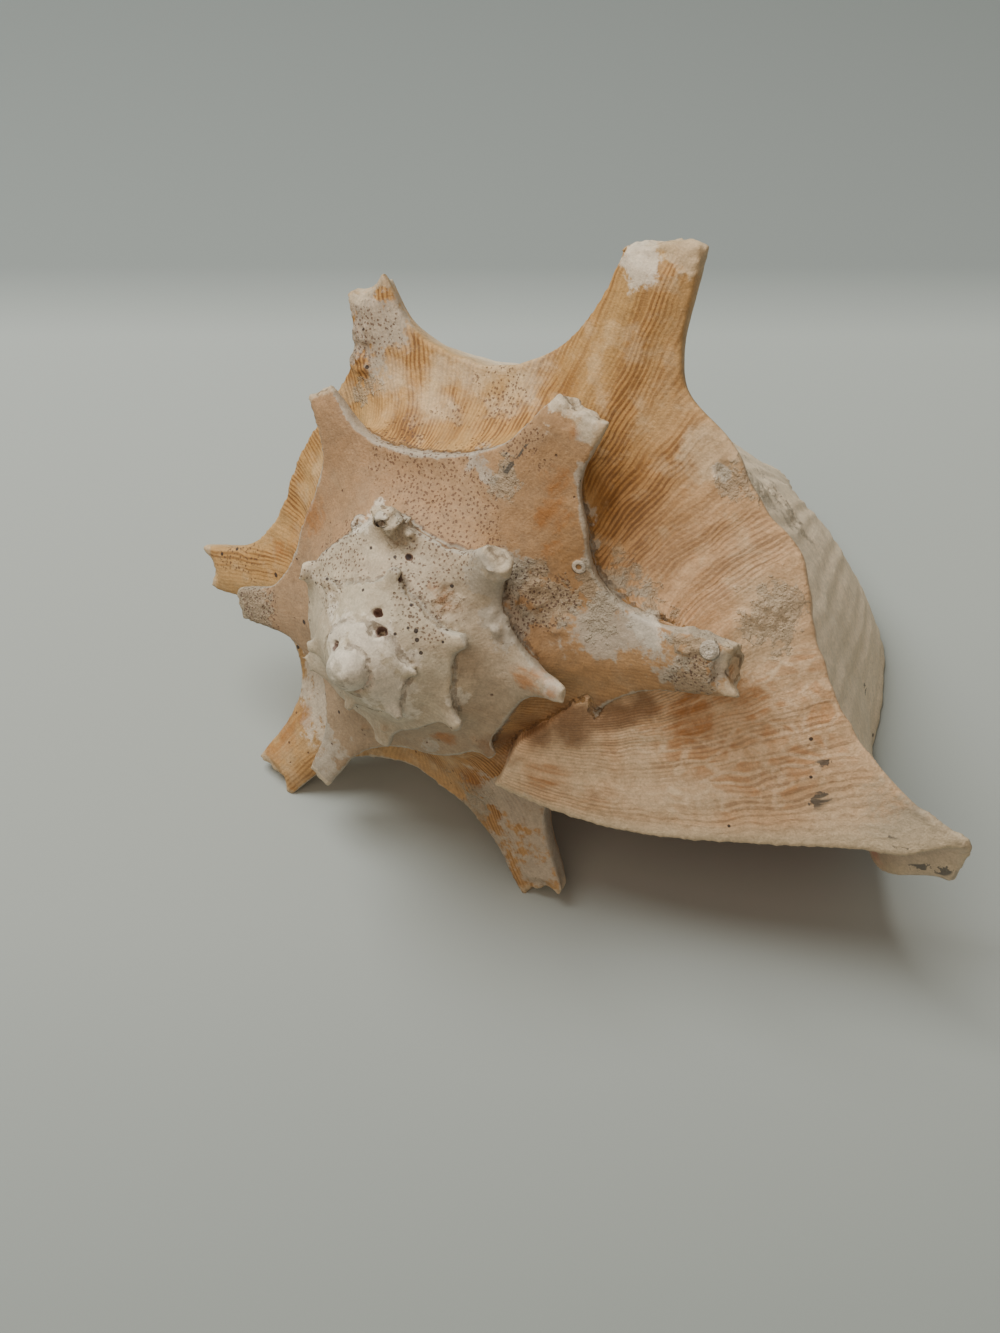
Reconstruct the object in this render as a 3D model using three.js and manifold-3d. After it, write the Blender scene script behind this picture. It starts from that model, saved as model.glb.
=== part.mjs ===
// A queen conch shell, lying as it came to rest: on two spines of its left side and on the edge of its lip.
// The shell grew as one coiled sheet of aragonite, so it is one solid. Millimetres, +Z up, lip towards +X.
//
// Growth is measured as an angle in degrees, clockwise as seen from the apex: 0 is the back of the last whorl,
// 95 is the wing tip of the lip, and earlier whorls have negative angles, a turn of 360 degrees each.
// Across each whorl a second measure runs from 0 at the suture, over the ramp, to 1 at the spiny shoulder,
// and on down the side to 2 at the front end, where the siphon was.

import * as THREE from 'three';
import { mergeVertices } from 'three/addons/utils/BufferGeometryUtils.js';
import Module from 'manifold-3d';

const { smoothstep, clamp, lerp, degToRad, radToDeg } = THREE.MathUtils;

const wasm = await Module();
wasm.setup();

// Driving dimensions

const WHORL_RADIUS = 65;          // shoulder of the last whorl at its back, without its spines
const FRONT_END = 214;            // from the apex to the front end, along the axis
const FRONT_LEAN = { x: 22, z: -16, from: 110 };  // the front end bends right and down, past this distance
const AXIS_PITCH = 19;            // the axis slopes down by this many degrees from the apex
const APEX = { x: -30.4, y: -100.2, z: 94 };
const WALL = 4.5;                 // thickness of the last whorl's wall
const LIP_WALL = 6;               // thickness of the grown-up lip
const CREASE_FILL = 0.8;          // how much thicker the wall is, as a part of itself, along the shoulder
const LIP_TURN = 95;              // growth angle of the lip's wing tip
const SUTURE_END = 138;           // growth angle at which the lip's suture ends
const FIRST_TURN = -1640;         // growth angle at which the coil starts, under the blunt first shell
const FIRST_SHELL = { radius: 6.2, along: 6.5 };
const HOLLOW_START = -125;        // the last whorl is open from here to the lip
const GROUND_SIZE = 600;          // side of the block that stands for the ground

// Spines of the last two whorls, the wing tip first: growth angle, reach of the tip from the axis, distance
// of the tip from the apex along the axis, radii of the blunt tip and of the base, and where the spine isn't
// round and straight, how many times broader it is than thick and how many degrees it leans

const SPINES = [
  { turn: 95, reach: 150, along: 74, tip: 2.5, base: 27, breadth: 2.4 },
  { turn: 56, reach: 99, along: 68, tip: 7, base: 22 },
  { turn: 43, reach: 90, along: 68, tip: 5, base: 17 },
  { turn: 20, reach: 113, along: 72, tip: 9.5, base: 36, lean: -6 },
  { turn: -34, reach: 88, along: 62, tip: 7, base: 32 },
  { turn: -111, reach: 92, along: 57, tip: 7, base: 28 },
  { turn: -152, reach: 94.5, along: 46, tip: 8, base: 30 },
  { turn: -211, reach: 92.5, along: 54, tip: 8, base: 32 },
  { turn: -286, reach: 90, along: 45, tip: 8, base: 25 },
  { turn: -339, reach: 79, along: 44, tip: 7.5, base: 28 },
  { turn: -403, reach: 67, along: 42, tip: 4.5, base: 22 },
  { turn: -473, reach: 66, along: 40, tip: 5, base: 20 },
  { turn: -521, reach: 70, along: 37, tip: 4.5, base: 20 },
  { turn: -590, reach: 41, along: 34, tip: 2, base: 8 },
  { turn: -637, reach: 51, along: 29, tip: 2.5, base: 15 },
  { turn: -686, reach: 45, along: 26, tip: 4.5, base: 12 },
  { turn: -735, reach: 38, along: 24, tip: 3, base: 10 },
  { turn: -795, reach: 32, along: 22, tip: 2.5, base: 11 },
];

// The early whorls bear a small spine every 57 degrees
const EARLY_SPINE_FROM = -850;
const EARLY_SPINE_STEP = 57;
for (let turn = EARLY_SPINE_FROM; turn > FIRST_TURN + 250; turn -= EARLY_SPINE_STEP) {
  const radius = shoulderRadius(turn);
  SPINES.push({ turn, reach: 1.27 * radius, along: 0.92 * radius, tip: 0.1 * radius, base: 0.36 * radius });
}

// The outer edge of the lip from under the wing tip to the front end: x to the right, y along the axis and
// z up from it. From its fifth point on it lies on the ground.
const LIP_EDGE = new THREE.CatmullRomCurve3([
  new THREE.Vector3(114.5, 72, -10),
  new THREE.Vector3(111, 86, -34),
  new THREE.Vector3(108, 106, -41),
  new THREE.Vector3(104, 129, -44),
  new THREE.Vector3(99, 150, -48),
  new THREE.Vector3(94, 169, -42),
  new THREE.Vector3(84, 188, -35),
  new THREE.Vector3(66, 201, -30),
  new THREE.Vector3(46, 208, -28),
  new THREE.Vector3(24, 213, -27),
]);

// Spacing of the rows of the solids, in degrees, and of their columns, in parts of the way across
const ROW_STEP = 10;
const LEAST_ROW_GAP = 2.4;        // millimetres at the shoulder
const ROWS_OF_SPINE = [-1, 0, 0.2, 0.55];
const ACROSS = [0, 0.14, 0.3, 0.45, 0.6, 0.72, 0.82, 1,
  1.035, 1.065, 1.1, 1.16, 1.26, 1.38, 1.5, 1.62, 1.74, 1.86, 1.94, 2];
const ACROSS_INSIDE = [0, 0.2, 0.4, 0.6, 0.8, 0.93, 1, 1.04, 1.1, 1.2, 1.3, 1.42, 1.54, 1.66, 1.78, 1.88, 1.96];
const ACROSS_CORE = [0, 0.14, 0.32, 0.5, 0.68, 0.84, 1, 1.03, 1.06, 1.1, 1.18, 1.35, 1.6, 1.85, 2];
const ACROSS_EARLY = [0, 0.25, 0.5, 0.7, 0.85, 1, 1.015, 1.035, 1.08];
const EARLY_SPAN = 290;           // degrees of growth in one wedge of the early spire

// Growth law

function shoulderRadius(turn) {
  const turns = turn / 360;
  return WHORL_RADIUS * Math.exp(0.30 * turns - 0.0325 * turns * turns);
}

function shoulderDrop(turn) {
  return 0.90 * shoulderRadius(turn) + 4 * smoothstep(turn, -200, 0);
}

// Where a whorl is glued to the one before it, just in front of that whorl's spines. The last suture
// climbs back up over the older ramp.
function suture(turn) {
  const climb = smoothstep(turn, 70, LIP_TURN + 42);
  const before = shoulderRadius(turn - 360);
  const older = shoulderRadius(turn - 720);
  const crest = lerp(0.03, 0.07, smoothstep(turn, -340, 60)) * before;
  return {
    radius: lerp(0.985 * before, 1.08 * older, climb),
    along: lerp(shoulderDrop(turn - 360) + crest, shoulderDrop(turn - 720) + 1, climb),
  };
}

// The plain outline of a whorl, without spines or lip, at one growth angle
function outline(turn, across) {
  const radius = shoulderRadius(turn);
  const drop = shoulderDrop(turn);
  const start = suture(turn);
  if (across <= 1) {
    const width = Math.hypot(radius - start.radius, drop - start.along);
    const sag = lerp(0.1, 0.64, smoothstep(turn, -900, -300)) * width * across * (1 - across);
    return {
      radius: lerp(start.radius, radius, across) - 0.5 * sag,
      along: lerp(start.along, drop, across) + 0.8 * sag,
    };
  }
  const down = across - 1;
  const front = lerp(6, 12, smoothstep(turn, HOLLOW_START, 70));
  return {
    radius: front + (radius - front) * (1 - down) * (1 + 0.2 * down),
    along: lerp(drop, FRONT_END, down),
  };
}

// The lip's growing edge at a place across the whorl
function lipEdge(across) {
  if (across > 1) {
    const point = LIP_EDGE.getPoint(across - 1);
    const centre = axisAt(point.y);
    const [x, z] = [point.x - centre.x, point.z - centre.z];
    return { turn: radToDeg(Math.atan2(x, z)), radius: Math.hypot(x, z), along: point.y };
  }
  const start = suture(SUTURE_END);
  return {
    turn: lerp(LIP_TURN, SUTURE_END, (1 - across) ** 1.35),
    radius: lerp(start.radius, 115, across),
    along: lerp(start.along, 72, across),
  };
}

// How far each spine pushes the surface out, at a growth angle and a distance across from the shoulder
function spineLift(turn, away) {
  const lift = { radius: 0, along: 0, clock: 0 };
  for (const spine of SPINES) {
    const base = shoulderRadius(spine.turn) + lipFlare(spine.turn);
    const beside = degToRad(turn - spine.turn) * base;
    const distance = Math.hypot(beside, away / (spine.breadth ?? 1));
    if (distance < spine.base) {
      const x = clamp((distance - spine.tip) / (spine.base - spine.tip), 0, 1);
      const height = (1 - x ** 0.38) ** 1.6;
      const rise = (spine.reach - base) * height;
      lift.radius += rise;
      lift.along += (spine.along - shoulderDrop(spine.turn)) * height;
      lift.clock += (spine.lean ?? 0) * height - (turn - spine.turn) * rise / (base + rise);
    }
  }
  return lift;
}

function lipFlare(turn) {
  return 45 * clamp((turn - 5) / 90, 0, 1.3) ** 1.5;
}

// A point of the shell's outer surface. Growth from 0 to 95 is spread over the lip, whose edge isn't flat.
function surface(turn, across, withSpines = true) {
  const edge = lipEdge(across);
  const grown = Math.max(turn, 0) / LIP_TURN;
  let clock = turn + (edge.turn - LIP_TURN) * grown ** 1.5;
  const plain = outline(clock, across);
  const plainEdge = outline(edge.turn, across);
  const flare = grown ** (1.5 + 1.2 * smoothstep(across, 1, 1.25));
  let radius = plain.radius + (edge.radius - plainEdge.radius) * flare;
  let along = plain.along + (edge.along - plainEdge.along) * flare;
  if (withSpines) {
    const rampWidth = Math.hypot(shoulderRadius(turn) - suture(turn).radius, 20);
    const sideLength = FRONT_END - shoulderDrop(turn);
    const away = across <= 1 ? (1 - across) * rampWidth : 0.8 * (across - 1) * sideLength;
    const own = spineLift(turn, away);
    const web = across <= 1 ? 0.9 * (1 - across) * (1 - smoothstep(clock, 70, LIP_TURN + 42)) : 0;
    const older = spineLift(clock - 360, across * rampWidth + 3);
    radius += own.radius + web * older.radius;
    along += own.along + web * older.along;
    clock += own.clock + web * older.clock;
  }
  return place(clock, radius, along);
}

function place(clock, radius, along) {
  const angle = degToRad(clock);
  return axisAt(along).add(new THREE.Vector3(radius * Math.sin(angle), 0, radius * Math.cos(angle)));
}

function axisAt(along) {
  const bend = smoothstep(along, FRONT_LEAN.from, FRONT_END);
  return new THREE.Vector3(FRONT_LEAN.x * bend, along, FRONT_LEAN.z * bend);
}

// The inside of the wall, one wall thickness under the plain surface
function inside(turn, across) {
  const step = 0.02;
  const growth = surface(turn + 1, across, false).sub(surface(turn - 1, across, false));
  const ahead = surface(turn, Math.min(across + step, 2), false);
  const over = ahead.sub(surface(turn, Math.max(across - step, 0), false));
  const inward = over.cross(growth).normalize();
  const wall = lerp(WALL, LIP_WALL, smoothstep(turn, 0, LIP_TURN));
  const crease = 1 + CREASE_FILL * Math.exp(-(((across - 1) / 0.08) ** 2));
  return surface(turn, across, false).addScaledVector(inward, wall * crease);
}

// Solids

function range(from, to, step) {
  const count = Math.round((to - from) / step);
  return Array.from({ length: count + 1 }, (unused, i) => from + ((to - from) * i) / count);
}

// Growth angles for the rows of a wedge: close where spines stand, and at even steps between them
function growthRows(from, to) {
  const wanted = [];
  for (const spine of SPINES) {
    const perMillimetre = radToDeg(1 / (shoulderRadius(spine.turn) + lipFlare(spine.turn)));
    for (const part of ROWS_OF_SPINE) {
      const away = part <= 0 ? (1 + part) * spine.tip : lerp(spine.tip, spine.base, part);
      wanted.push(spine.turn - away * perMillimetre, spine.turn + away * perMillimetre);
    }
  }
  const rows = [from];
  const reach = (turn) => {
    const last = rows.at(-1);
    const steps = Math.ceil((turn - last) / ROW_STEP);
    rows.push(...range(last, turn, (turn - last) / steps).slice(1));
  };
  for (const turn of wanted.sort((a, b) => a - b)) {
    const gap = radToDeg(LEAST_ROW_GAP / shoulderRadius(turn));
    if (turn > rows.at(-1) + gap && turn < to - gap) reach(turn);
  }
  reach(to);
  return rows;
}

// A solid wedge between two growth angles, from the axis out to a surface
function wedge(point, turns, acrosses, axisFrom, axisTo) {
  const rows = turns.map((turn) => acrosses.map((across) => point(turn, across)));
  const core = range(0, 1, 1 / (acrosses.length - 1)).map((part) => axisAt(lerp(axisFrom, axisTo, part)));
  const positions = [];
  const triangle = (a, b, c) => positions.push(...a.toArray(), ...b.toArray(), ...c.toArray());
  const quad = (a, b, c, d) => {
    triangle(a, b, c);
    triangle(a, c, d);
  };
  const last = acrosses.length - 1;
  const first = rows[0];
  const final = rows.at(-1);
  for (let i = 0; i + 1 < rows.length; i += 1) {
    for (let j = 0; j < last; j += 1) quad(rows[i][j], rows[i + 1][j], rows[i + 1][j + 1], rows[i][j + 1]);
    triangle(core[0], rows[i + 1][0], rows[i][0]);
    triangle(core[last], rows[i][last], rows[i + 1][last]);
  }
  for (let j = 0; j < last; j += 1) {
    quad(core[j], first[j], first[j + 1], core[j + 1]);
    quad(core[j], core[j + 1], final[j + 1], final[j]);
  }
  const geometry = new THREE.BufferGeometry();
  geometry.setAttribute('position', new THREE.Float32BufferAttribute(positions, 3));
  return solidOf(geometry);
}

function solidOf(geometry) {
  geometry.deleteAttribute('normal');
  geometry.deleteAttribute('uv');
  const merged = mergeVertices(geometry, 1e-4);
  const index = merged.index.array;
  const triVerts = [];
  for (let i = 0; i < index.length; i += 3) {
    const [a, b, c] = [index[i], index[i + 1], index[i + 2]];
    if (a !== b && b !== c && c !== a) triVerts.push(a, b, c);
  }
  const vertProperties = new Float32Array(merged.attributes.position.array);
  return new wasm.Manifold(new wasm.Mesh({ numProp: 3, vertProperties, triVerts: new Uint32Array(triVerts) }));
}

// A wedge of plain solid shell
function grown(from, to, acrosses) {
  const axisTo = acrosses.at(-1) === 2 ? FRONT_END : outline(to, acrosses.at(-1)).along;
  return wedge(surface, growthRows(from, to), acrosses, suture(from - 180).along, axisTo);
}

function buildShell() {
  const hollow = wedge(inside, range(HOLLOW_START, 1.1 * LIP_TURN, 9), ACROSS_INSIDE, suture(-200).along, FRONT_END);
  let solid = grown(HOLLOW_START - 5, LIP_TURN, ACROSS).subtract(hollow);
  solid = solid.add(grown(-310, HOLLOW_START, ACROSS_CORE)).add(grown(-500, -300, ACROSS_CORE));
  for (let to = -490; to > FIRST_TURN; to -= EARLY_SPAN) {
    solid = solid.add(grown(Math.max(to - EARLY_SPAN - 10, FIRST_TURN), to, ACROSS_EARLY));
  }
  const firstShell = new THREE.SphereGeometry(FIRST_SHELL.radius, 16, 10).translate(0, FIRST_SHELL.along, 0);
  return outermost(solid.add(solidOf(firstShell)));
}

// The skin that encloses everything, without the small closed pockets left between whorls
function outermost(solid) {
  return solid.decompose().reduce((largest, piece) => (piece.volume() > largest.volume() ? piece : largest));
}

// The shell as it lies: its axis pitched, its apex in place, and what would be under the ground worn flat
function layDown(solid) {
  const lie = new THREE.Matrix4().makeRotationX(-degToRad(AXIS_PITCH)).setPosition(APEX.x, APEX.y, APEX.z);
  const ground = new THREE.BoxGeometry(GROUND_SIZE, GROUND_SIZE, GROUND_SIZE).translate(0, 0, -GROUND_SIZE / 2);
  return solid.transform(lie.elements).subtract(solidOf(ground));
}

function meshOf(name, solid, material) {
  const { vertProperties, triVerts } = solid.getMesh();
  const geometry = new THREE.BufferGeometry();
  geometry.setAttribute('position', new THREE.BufferAttribute(vertProperties, 3));
  geometry.setIndex(new THREE.BufferAttribute(triVerts, 1));
  const mesh = new THREE.Mesh(geometry, material);
  mesh.name = name;
  return mesh;
}

const aragonite = new THREE.MeshStandardMaterial({ color: 0xd9b68c, roughness: 0.6, metalness: 0 });
const conch = new THREE.Group();
conch.add(meshOf('conch_shell', layDown(buildShell()), aragonite));
export default conch;
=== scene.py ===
# %% [markdown]
# # A weathered queen conch shell
#
# The shell lies on two of its spines, on the edge of its lip and on its front end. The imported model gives
# the solid that the shell fills. This notebook grows the same shell again with a fine skin, wears it down,
# and finishes it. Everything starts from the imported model, so that the new skin is in the same place.

# %% Load the frame
import math
import time

import bmesh
import bpy
import numpy as np
from mathutils import Matrix, Vector
from mathutils.bvhtree import BVHTree


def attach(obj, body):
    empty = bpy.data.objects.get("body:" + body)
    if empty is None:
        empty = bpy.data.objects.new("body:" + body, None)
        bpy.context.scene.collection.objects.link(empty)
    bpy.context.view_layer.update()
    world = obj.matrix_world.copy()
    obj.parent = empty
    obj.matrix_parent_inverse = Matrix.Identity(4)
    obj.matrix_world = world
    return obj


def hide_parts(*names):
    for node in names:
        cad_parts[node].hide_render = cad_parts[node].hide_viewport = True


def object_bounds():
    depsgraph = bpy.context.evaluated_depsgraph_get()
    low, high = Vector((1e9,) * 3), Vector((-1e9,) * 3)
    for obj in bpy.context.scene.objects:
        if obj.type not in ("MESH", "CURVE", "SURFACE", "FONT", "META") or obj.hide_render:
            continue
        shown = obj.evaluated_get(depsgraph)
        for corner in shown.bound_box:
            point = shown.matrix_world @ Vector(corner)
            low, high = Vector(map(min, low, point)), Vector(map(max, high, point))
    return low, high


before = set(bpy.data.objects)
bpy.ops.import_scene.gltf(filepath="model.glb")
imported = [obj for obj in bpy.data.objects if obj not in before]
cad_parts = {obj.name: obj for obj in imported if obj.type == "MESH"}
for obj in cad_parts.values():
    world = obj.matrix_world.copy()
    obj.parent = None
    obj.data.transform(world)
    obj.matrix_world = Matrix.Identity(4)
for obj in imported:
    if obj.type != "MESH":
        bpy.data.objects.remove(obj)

started = time.time()
CAD_LOW, CAD_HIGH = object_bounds()
MM = 0.001
print("solid from", [round(v / MM, 1) for v in CAD_LOW], "to", [round(v / MM, 1) for v in CAD_HIGH], "mm")


# %% [markdown]
# Blender works in metres. A shell is easier to think about in millimetres, so the growth law below works
# in millimetres, and the points are turned to metres when they go into a mesh. Two small blends are used
# everywhere: a straight one, and one that starts and ends softly.

# %% Blends
def mix(low, high, part):
    return low + (high - low) * part


def ease(value, low, high):
    part = np.clip((value - low) / (high - low), 0, 1)
    return part * part * (3 - 2 * part)


# %% [markdown]
# The camera is where the photograph was taken from. Its direction was solved from the places of the
# spines, which all lie on one spiral. Depth of field stays off, so every part of the shell is sharp.

# %% Camera
AZIMUTH, ELEVATION = math.radians(34), math.radians(50)
APEX = np.array([-30.4, -100.2, 94.0])
APEX_DISTANCE = 480.0
PHOTO_WIDTH, PHOTO_HEIGHT = 1000, 1333
FOCAL_PIXELS = 1920.0
APEX_PIXEL = (335.0, 678.0)
SENSOR = 36.0

view_forward = np.array([
    -math.sin(AZIMUTH) * math.cos(ELEVATION),
    math.cos(AZIMUTH) * math.cos(ELEVATION),
    -math.sin(ELEVATION),
])
view_right = np.array([math.cos(AZIMUTH), math.sin(AZIMUTH), 0.0])
view_up = np.cross(view_right, view_forward)


def sight_line(x, y):
    """The direction in which the camera sees one pixel of the photograph."""
    sideways = (x - PHOTO_WIDTH / 2) / FOCAL_PIXELS
    upwards = (PHOTO_HEIGHT / 2 - y) / FOCAL_PIXELS
    return view_forward + view_right * sideways + view_up * upwards


eye = APEX - APEX_DISTANCE * sight_line(*APEX_PIXEL)
camera_data = bpy.data.cameras.new("camera")
camera_data.sensor_width = SENSOR
camera_data.lens = SENSOR * FOCAL_PIXELS / PHOTO_HEIGHT
camera_data.clip_start = 0.01
camera = bpy.data.objects.new("camera", camera_data)
bpy.context.scene.collection.objects.link(camera)
axes = Matrix((view_right, view_up, -view_forward)).transposed()
camera.matrix_world = Matrix.Translation(Vector(eye * MM)) @ axes.to_4x4()
bpy.context.scene.camera = camera
print("camera at", np.round(eye, 1), "mm, lens", round(camera_data.lens, 2), "mm")

# %% [markdown]
# A conch grows by adding a little shell to its lip, again and again, so each point of it has an age and a
# place across the whorl. The age is a growth angle in degrees: 0 is the back of the last whorl, 95 is the
# wing tip of the lip, and every 360 degrees earlier is one whorl further up the spire. Across a whorl, 0 is
# the suture where it is glued to the whorl before, 1 is the spiny shoulder, and 2 is the front end.
#
# The law could be modelled by hand with a curve and a taper. A formula was chosen, because the same law
# then gives the skin, the inside of the wall, and later the direction of every growth line.

# %% Growth law
WHORL_RADIUS = 65.0
GROWTH, SLOWING = 0.30, 0.0325     # a turn adds about a third to the radius, and later turns add less
SHOULDER_SLOPE, LATE_DROP = 0.90, 4
SUTURE_RADIUS, CLIMBED_RADIUS = 0.985, 1.08    # in shoulder radii of the whorl before, and of the one older
SUTURE_BELOW = (0.03, 0.07)        # how far below the shoulder of the whorl before, in its radii
RAMP_SAG = (0.1, 0.64)             # how hollow the ramp is on the first and on the later whorls
FRONT_RADII, SIDE_BELLY = (6, 12), 0.2
FRONT_END = 214.0
FRONT_LEAN = {"x": 22.0, "z": -16.0, "from": 110.0}
AXIS_PITCH = math.radians(19)
LIP_TURN, SUTURE_END = 95.0, 138.0
FIRST_TURN, HOLLOW_START = -1640.0, -125.0
CLIMB = (70, LIP_TURN + 42)        # here the lip's suture climbs back over the whorl before


def shoulder_radius(turn):
    turns = turn / 360
    return WHORL_RADIUS * np.exp(GROWTH * turns - SLOWING * turns**2)


def shoulder_drop(turn):
    return SHOULDER_SLOPE * shoulder_radius(turn) + LATE_DROP * ease(turn, -200, 0)


def suture(turn):
    """Radius and distance along the axis where a whorl is glued to the one before."""
    climb = ease(turn, *CLIMB)
    before, older = shoulder_radius(turn - 360), shoulder_radius(turn - 720)
    below = mix(*SUTURE_BELOW, ease(turn, -340, 60)) * before
    radius = mix(SUTURE_RADIUS * before, CLIMBED_RADIUS * older, climb)
    along = mix(shoulder_drop(turn - 360) + below, shoulder_drop(turn - 720) + 1, climb)
    return radius, along


def outline(turn, across):
    """Radius and distance along the axis of the plain whorl, without spines or lip."""
    radius, drop = shoulder_radius(turn), shoulder_drop(turn)
    start_radius, start_along = suture(turn)
    ramp = np.minimum(across, 1)
    width = np.hypot(radius - start_radius, drop - start_along)
    sag = mix(*RAMP_SAG, ease(turn, -900, -300)) * width * ramp * (1 - ramp)
    ramp_radius = mix(start_radius, radius, ramp) - 0.5 * sag
    ramp_along = mix(start_along, drop, ramp) + 0.8 * sag
    down = np.maximum(across - 1, 0)
    front = mix(*FRONT_RADII, ease(turn, HOLLOW_START, 70))
    side_radius = front + (radius - front) * (1 - down) * (1 + SIDE_BELLY * down)
    side_along = mix(drop, FRONT_END, down)
    on_ramp = across <= 1
    return np.where(on_ramp, ramp_radius, side_radius), np.where(on_ramp, ramp_along, side_along)


def axis_at(along):
    bend = ease(along, FRONT_LEAN["from"], FRONT_END)
    return np.stack([FRONT_LEAN["x"] * bend, along, FRONT_LEAN["z"] * bend], -1)


def place(clock, radius, along):
    angle = np.radians(clock)
    around = np.stack([radius * np.sin(angle), 0 * radius, radius * np.cos(angle)], -1)
    return axis_at(along) + around


print("shoulder radius at the lip", round(float(shoulder_radius(LIP_TURN)), 1), "mm")

# %% [markdown]
# The lip of a grown shell flares out like a wing. Its edge is not flat: from the wing tip it curls down to
# the ground, which it touches along the middle, and then runs to the front end. A smooth spline through
# ten points holds that edge, in the shell's own axes: x to the right, y along the axis, z up from it.

# %% Edge of the lip
LIP_EDGE = np.array([
    (114.5, 72, -10), (111, 86, -34), (108, 106, -41), (104, 129, -44), (99, 150, -48),
    (94, 169, -42), (84, 188, -35), (66, 201, -30), (46, 208, -28), (24, 213, -27),
], float)
WING_TIP_RADIUS, WING_TIP_ALONG = 115, 72
FLARE, FLARE_START = 45, 5         # mm that the shoulder flares out, from this growth angle to the lip


def lip_line(part):
    """A point of the lip's edge, from 0 under the wing tip to 1 at the front end, on a centripetal spline."""
    ends = (2 * LIP_EDGE[0] - LIP_EDGE[1], 2 * LIP_EDGE[-1] - LIP_EDGE[-2])
    points = np.vstack([ends[0], LIP_EDGE, ends[1]])
    last = len(LIP_EDGE) - 1
    whole = np.clip(part, 0, 1) * last
    index = np.minimum(whole.astype(int), last - 1)
    t = (whole - index)[..., None]
    a, b, c, d = (points[index + k] for k in range(4))
    ab, bc, cd = (np.linalg.norm(q - p, axis=-1, keepdims=True) ** 0.5 for p, q in ((a, b), (b, c), (c, d)))
    leave = ((b - a) / ab - (c - a) / (ab + bc) + (c - b) / bc) * bc
    arrive = ((c - b) / bc - (d - b) / (bc + cd) + (d - c) / cd) * bc
    return b + leave * t + (3 * (c - b) - 2 * leave - arrive) * t**2 + (2 * (b - c) + leave + arrive) * t**3


def lip_edge(across):
    """Growth angle, radius and distance along the axis of the lip's growing edge."""
    point = lip_line(across - 1)
    off = point - axis_at(point[..., 1])
    start_radius, start_along = suture(np.float64(SUTURE_END))
    ramp = np.minimum(across, 1)
    turn = mix(LIP_TURN, SUTURE_END, (1 - ramp) ** 1.4)
    on_ramp = across <= 1
    return (
        np.where(on_ramp, turn, np.degrees(np.arctan2(off[..., 0], off[..., 2]))),
        np.where(on_ramp, mix(start_radius, WING_TIP_RADIUS, ramp), np.hypot(off[..., 0], off[..., 2])),
        np.where(on_ramp, mix(start_along, WING_TIP_ALONG, ramp), point[..., 1]),
    )


def lip_flare(turn):
    return FLARE * np.clip((turn - FLARE_START) / (LIP_TURN - FLARE_START), 0, 1.3) ** 1.5


print("the lip's edge goes through", len(LIP_EDGE), "points")

# %% [markdown]
# Every few weeks of growth the lip folds out into a spine. On this shell the tips have broken off, so each
# spine is a blunt horn. Each is given by its growth angle, the reach of its tip from the axis, the place of
# the tip along the axis, and the radii of tip and base. A few lean, are drawn out across the whorl, or say
# how hollow and how slanted their broken end is. The early whorls bear small ones at even steps.

# %% Spines
SPINES = [
    dict(turn=95, reach=150, along=74, tip=2.5, base=30, breadth=2.4, taper=0.55),
    dict(turn=58, reach=96, along=67, tip=0, base=24, taper=1.5),
    dict(turn=42, reach=88, along=67, tip=0, base=18, taper=1.5),
    dict(turn=20, reach=115, along=72, tip=9.5, base=36, lean=-6, hollow=0.0, slant=8),
    dict(turn=-34, reach=88, along=62, tip=7, base=32),
    dict(turn=-111, reach=92, along=57, tip=7, base=28),
    dict(turn=-152, reach=94.5, along=46, tip=8, base=30),
    dict(turn=-211, reach=92.5, along=54, tip=8, base=32),
    dict(turn=-286, reach=90, along=45, tip=8, base=25),
    dict(turn=-319, reach=56, along=42, tip=0, base=18, taper=1.5),
    dict(turn=-339, reach=79, along=44, tip=7.5, base=28, hollow=0.05),
    dict(turn=-403, reach=67, along=42, tip=4.5, base=22),
    dict(turn=-473, reach=66, along=40, tip=5, base=20, hollow=0.1),
    dict(turn=-521, reach=70, along=37, tip=4.5, base=20, hollow=0.0),
    dict(turn=-590, reach=41, along=34, tip=2, base=8),
    dict(turn=-637, reach=51, along=29, tip=2.5, base=15),
    dict(turn=-686, reach=45, along=26, tip=4.5, base=12),
    dict(turn=-735, reach=38, along=24, tip=3, base=10),
    dict(turn=-795, reach=32, along=22, tip=2.5, base=11),
]
TAPER = 0.38                       # a horn narrows fast above its base, a low knob has a larger value
POINTED = 1.6                      # a larger value draws the ends of all horns out
EARLY_FROM, EARLY_TO, EARLY_STEP = -850.0, FIRST_TURN + 250, 57.0
EARLY_SHAPE = dict(reach=1.27, along=0.92, tip=0.1, base=0.36)      # in radii of the shoulder there
for early in np.arange(EARLY_FROM, EARLY_TO, -EARLY_STEP):
    girth = float(shoulder_radius(early))
    SPINES.append(dict(turn=float(early), **{key: size * girth for key, size in EARLY_SHAPE.items()}))


def spine_lift(turn, away):
    """How far the spines push the skin outwards, along the axis and round it."""
    lift = np.zeros((3,) + np.broadcast(turn, away).shape)
    for spine in SPINES:
        base = shoulder_radius(spine["turn"]) + lip_flare(spine["turn"])
        beside = np.radians(turn - spine["turn"]) * base
        distance = np.hypot(beside, away / spine.get("breadth", 1))
        part = np.clip((distance - spine["tip"]) / (spine["base"] - spine["tip"]), 0, 1)
        height = np.where(distance < spine["base"], (1 - part ** spine.get("taper", TAPER)) ** POINTED, 0)
        rise = (spine["reach"] - base) * height
        lift[0] += rise
        lift[1] += (spine["along"] - shoulder_drop(spine["turn"])) * height
        lift[2] += spine.get("lean", 0) * height - (turn - spine["turn"]) * rise / (base + rise)
    return lift


print(len(SPINES), "spines")

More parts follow.
